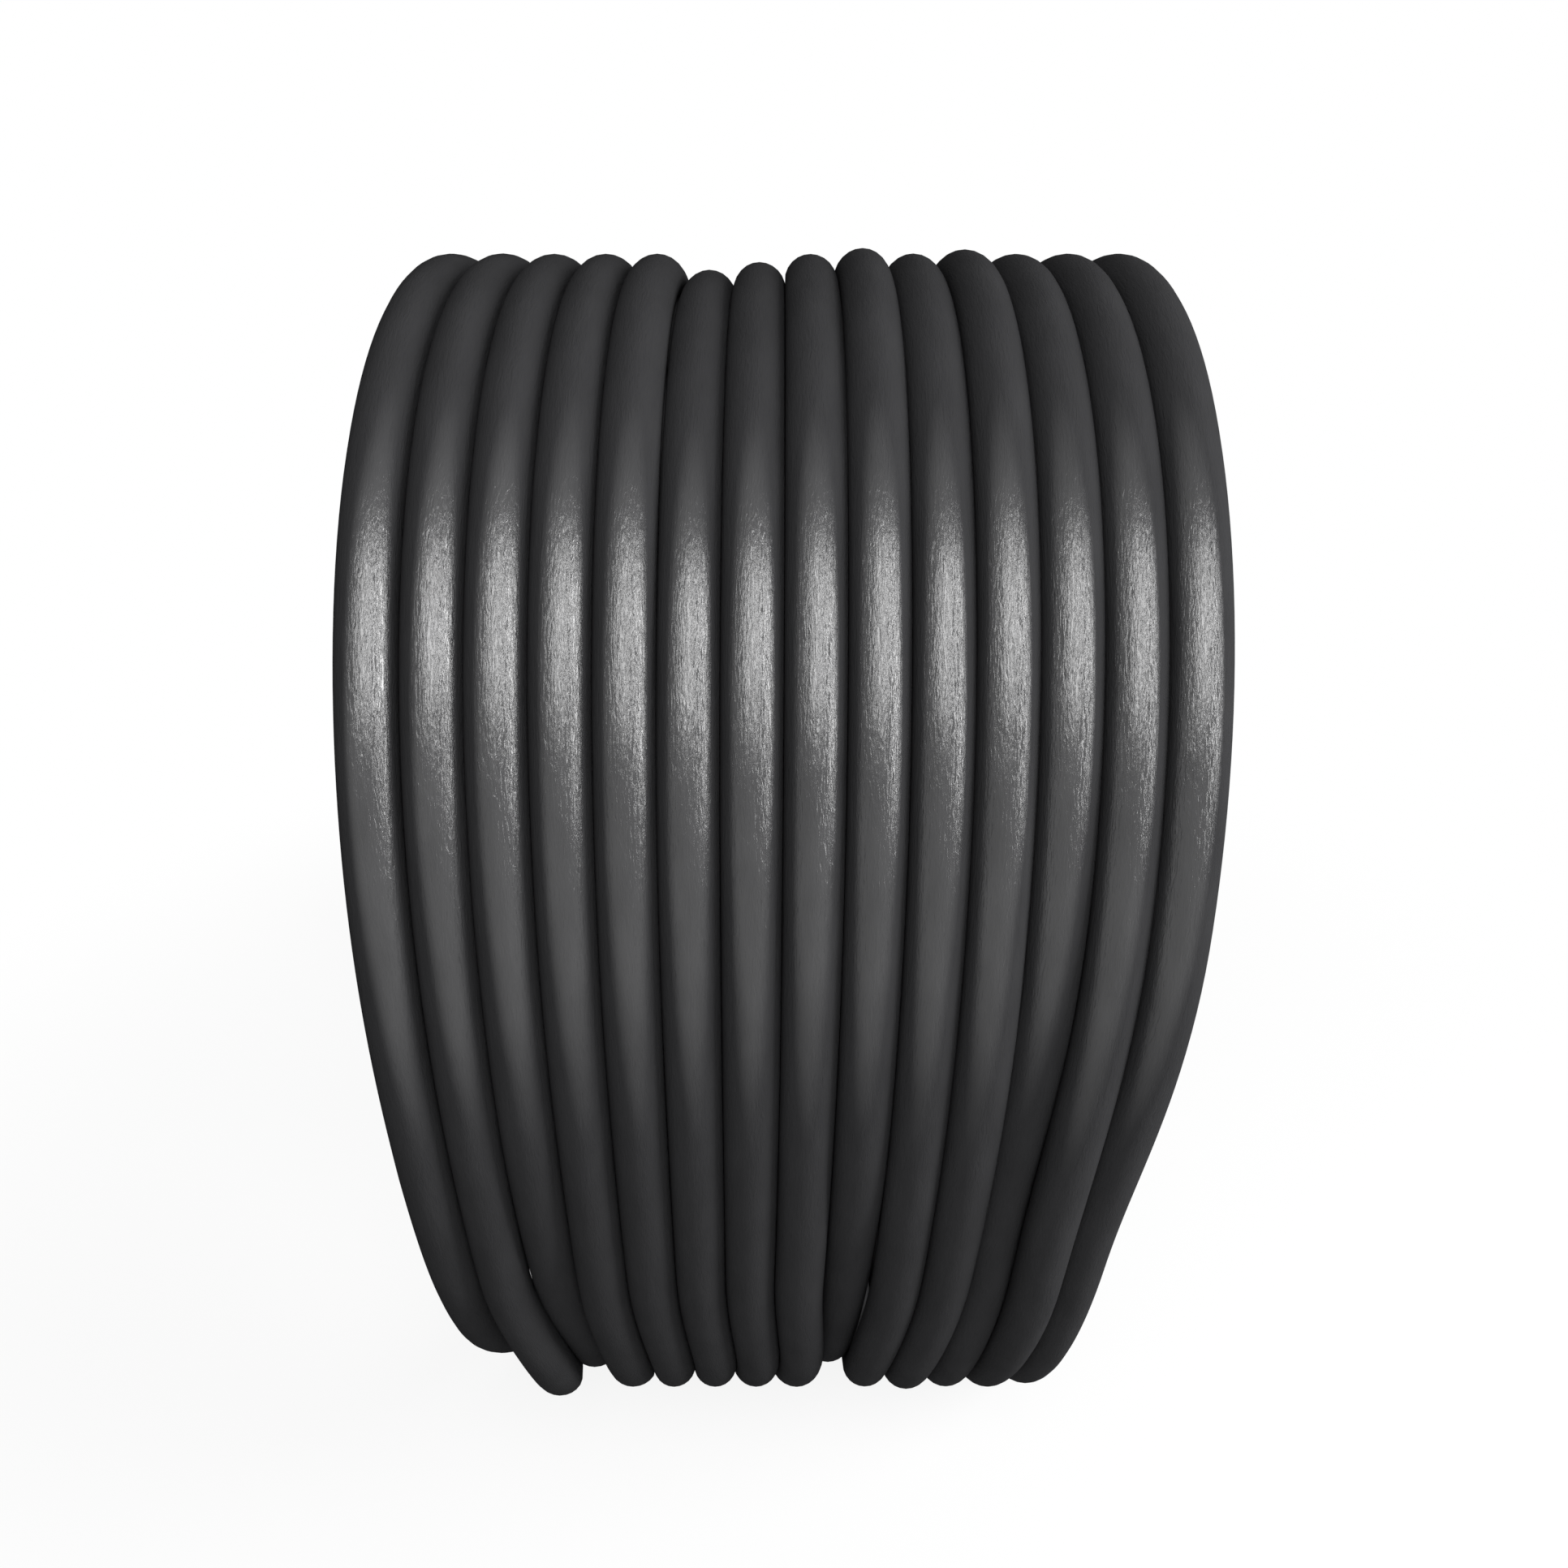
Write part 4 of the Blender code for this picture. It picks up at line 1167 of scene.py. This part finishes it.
class SOAKER_OT_hose(bpy.types.Operator):
    """The porous hose, wound in turns side by side"""

    bl_idname = "soaker.hose"
    bl_label = "Hose"

    def execute(self, context):
        settings = context.scene.soaker_hose
        route = placed_route()
        mesh = hose_mesh(route, settings)
        piece = add_piece("porous_hose", mesh, hose_finish(settings), "coil", "hose")
        return {"FINISHED"}


class SOAKER_OT_ferrules(bpy.types.Operator):
    """The two sleeves crimped over the ends of the hose"""

    bl_idname = "soaker.ferrules"
    bl_label = "Ferrules"

    def execute(self, context):
        settings = context.scene.soaker_couplings
        for name, end in zip(("inlet_ferrule", "outlet_ferrule"), coupling_ends()):
            finish = brass_finish(name + "_brass", settings.sleeve, settings.tarnish, end[0], *SLEEVE_BRASS)
            mesh = turned_mesh("crimped_" + name, ferrule_profile(), end, settings, crimp_relief, CRIMP_STEP)
            piece = add_piece("crimped_" + name, mesh, finish, "coil", name)
        return {"FINISHED"}


class SOAKER_OT_stems(bpy.types.Operator):
    """The barbed inlet stem with its flange, and the outlet stem with its male thread"""

    bl_idname = "soaker.stems"
    bl_label = "Stems"

    def execute(self, context):
        settings = context.scene.soaker_couplings
        inlet, outlet = coupling_ends()
        rows = (
            ("flanged_inlet_stem", inlet_stem_profile(), inlet, None, None, "inlet_stem"),
            ("threaded_outlet_stem", outlet_stem_profile(), outlet, male_relief, THREAD_STEP, "outlet_stem"),
        )
        for name, profile, end, relief, step, node in rows:
            finish = brass_finish(node + "_brass", settings.brass, settings.tarnish, end[0], *TURNED_BRASS)
            mesh = turned_mesh(name, profile, end, settings, relief, step, STEM_ROUNDING)
            add_piece(name, mesh, finish, "coil", node)
        return {"FINISHED"}


class SOAKER_OT_inlet_nut(bpy.types.Operator):
    """The swivel nut with its ribs and female thread"""

    bl_idname = "soaker.inlet_nut"
    bl_label = "Inlet nut"

    def execute(self, context):
        settings = context.scene.soaker_couplings
        end = coupling_ends()[0]
        finish = brass_finish("nut_brass", settings.brass, settings.tarnish, end[0], *TURNED_BRASS)
        mesh = turned_mesh("ribbed_inlet_nut", nut_profile(), end, settings, nut_relief, THREAD_STEP)
        piece = add_piece("ribbed_inlet_nut", mesh, finish, "swivel_nut", "inlet_nut")
        return {"FINISHED"}


class SOAKER_OT_end_cap(bpy.types.Operator):
    """The screwed cap that closes the outlet"""

    bl_idname = "soaker.end_cap"
    bl_label = "End cap"

    def execute(self, context):
        settings = context.scene.soaker_couplings
        end = coupling_ends()[1]
        finish = moulded_finish(
            "cap_plastic", settings.cap, roughness=0.42, grain=1500.0, depth=0.00003, worn=2.0
        )
        mesh = turned_mesh("ribbed_end_cap", cap_profile(), end, settings, cap_relief, THREAD_STEP)
        close_on_axis(mesh)
        piece = add_piece("ribbed_end_cap", mesh, finish, "cap", "end_cap")
        return {"FINISHED"}


class SOAKER_OT_seals(bpy.types.Operator):
    """The two washers and the flow restrictor"""

    bl_idname = "soaker.seals"
    bl_label = "Washers and restrictor"

    def execute(self, context):
        settings = context.scene.soaker_couplings
        inlet, outlet = coupling_ends()
        rubber = moulded_finish(
            "sealing_rubber", settings.washer, roughness=0.62, grain=1100.0, depth=0.00003, worn=1.7
        )
        plastic = moulded_finish(
            "restrictor_plastic", settings.disc, roughness=0.38, grain=900.0, depth=0.000015, worn=1.05
        )
        disc = ring_profile(DISC_RADIUS, DISC_HOLE, FLANGE_END - DISC_THICKNESS, DISC_THICKNESS)
        washer = ring_profile(WASHER_RADIUS, WASHER_HOLE, FLANGE_END + FIT_GAP, WASHER_THICKNESS)
        thickness = CAP_END - CAP_WALL - FIT_GAP - MALE_END - FIT_GAP
        seal = ring_profile(WASHER_RADIUS, CAP_WASHER_HOLE, MALE_END + FIT_GAP, thickness)
        rows = (
            ("drilled_restrictor", disc, inlet, plastic, "coil", "flow_restrictor", "white_plastic"),
            ("inlet_seal", washer, inlet, rubber, "coil", "inlet_washer", "washer_rubber"),
            ("cap_seal_ring", seal, outlet, rubber, "cap_seal", "cap_washer", "washer_rubber"),
        )
        for name, profile, end, finish, body, node, slot in rows:
            mesh = turned_mesh(name, profile, end, settings, rounding=SEAL_ROUNDING)
            add_piece(name, mesh, finish, body, node)
        return {"FINISHED"}


class SOAKER_OT_declare(bpy.types.Operator):
    """Takes no step of its own and finishes at once"""

    bl_idname = "soaker.declare"
    bl_label = "Hose facts"

    def execute(self, context):
        return {"FINISHED"}


class SOAKER_PT_panel(bpy.types.Panel):
    """The steps that build the hose, in order"""

    bl_idname = "SOAKER_PT_panel"
    bl_label = "Soaker hose"
    bl_space_type = "VIEW_3D"
    bl_region_type = "UI"
    bl_category = "Soaker Hose"

    def draw(self, context):
        layout = self.layout
        for step in STEPS:
            layout.operator(step)
        for group in ("soaker_hose", "soaker_couplings", "soaker_stage"):
            settings = getattr(context.scene, group)
            box = layout.box()
            for name in settings.__annotations__:
                box.prop(settings, name)


STEPS = (
    "soaker.stage",
    "soaker.hose",
    "soaker.ferrules",
    "soaker.stems",
    "soaker.inlet_nut",
    "soaker.end_cap",
    "soaker.seals",
    "soaker.declare",
)

CLASSES = (
    SOAKER_PG_hose,
    SOAKER_PG_couplings,
    SOAKER_PG_stage,
    SOAKER_OT_stage,
    SOAKER_OT_hose,
    SOAKER_OT_ferrules,
    SOAKER_OT_stems,
    SOAKER_OT_inlet_nut,
    SOAKER_OT_end_cap,
    SOAKER_OT_seals,
    SOAKER_OT_declare,
    SOAKER_PT_panel,
)


def register():
    for made in CLASSES:
        bpy.utils.register_class(made)
    bpy.types.Scene.soaker_hose = bpy.props.PointerProperty(type=SOAKER_PG_hose)
    bpy.types.Scene.soaker_couplings = bpy.props.PointerProperty(type=SOAKER_PG_couplings)
    bpy.types.Scene.soaker_stage = bpy.props.PointerProperty(type=SOAKER_PG_stage)


def unregister():
    del bpy.types.Scene.soaker_stage
    del bpy.types.Scene.soaker_couplings
    del bpy.types.Scene.soaker_hose
    for made in reversed(CLASSES):
        bpy.utils.unregister_class(made)


def main():
    register()
    bpy.ops.soaker.stage()
    bpy.ops.soaker.hose()
    bpy.ops.soaker.ferrules()
    bpy.ops.soaker.stems()
    bpy.ops.soaker.inlet_nut()
    bpy.ops.soaker.end_cap()
    bpy.ops.soaker.seals()
    bpy.ops.soaker.declare()
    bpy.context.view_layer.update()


if __name__ == "__main__":
    main()
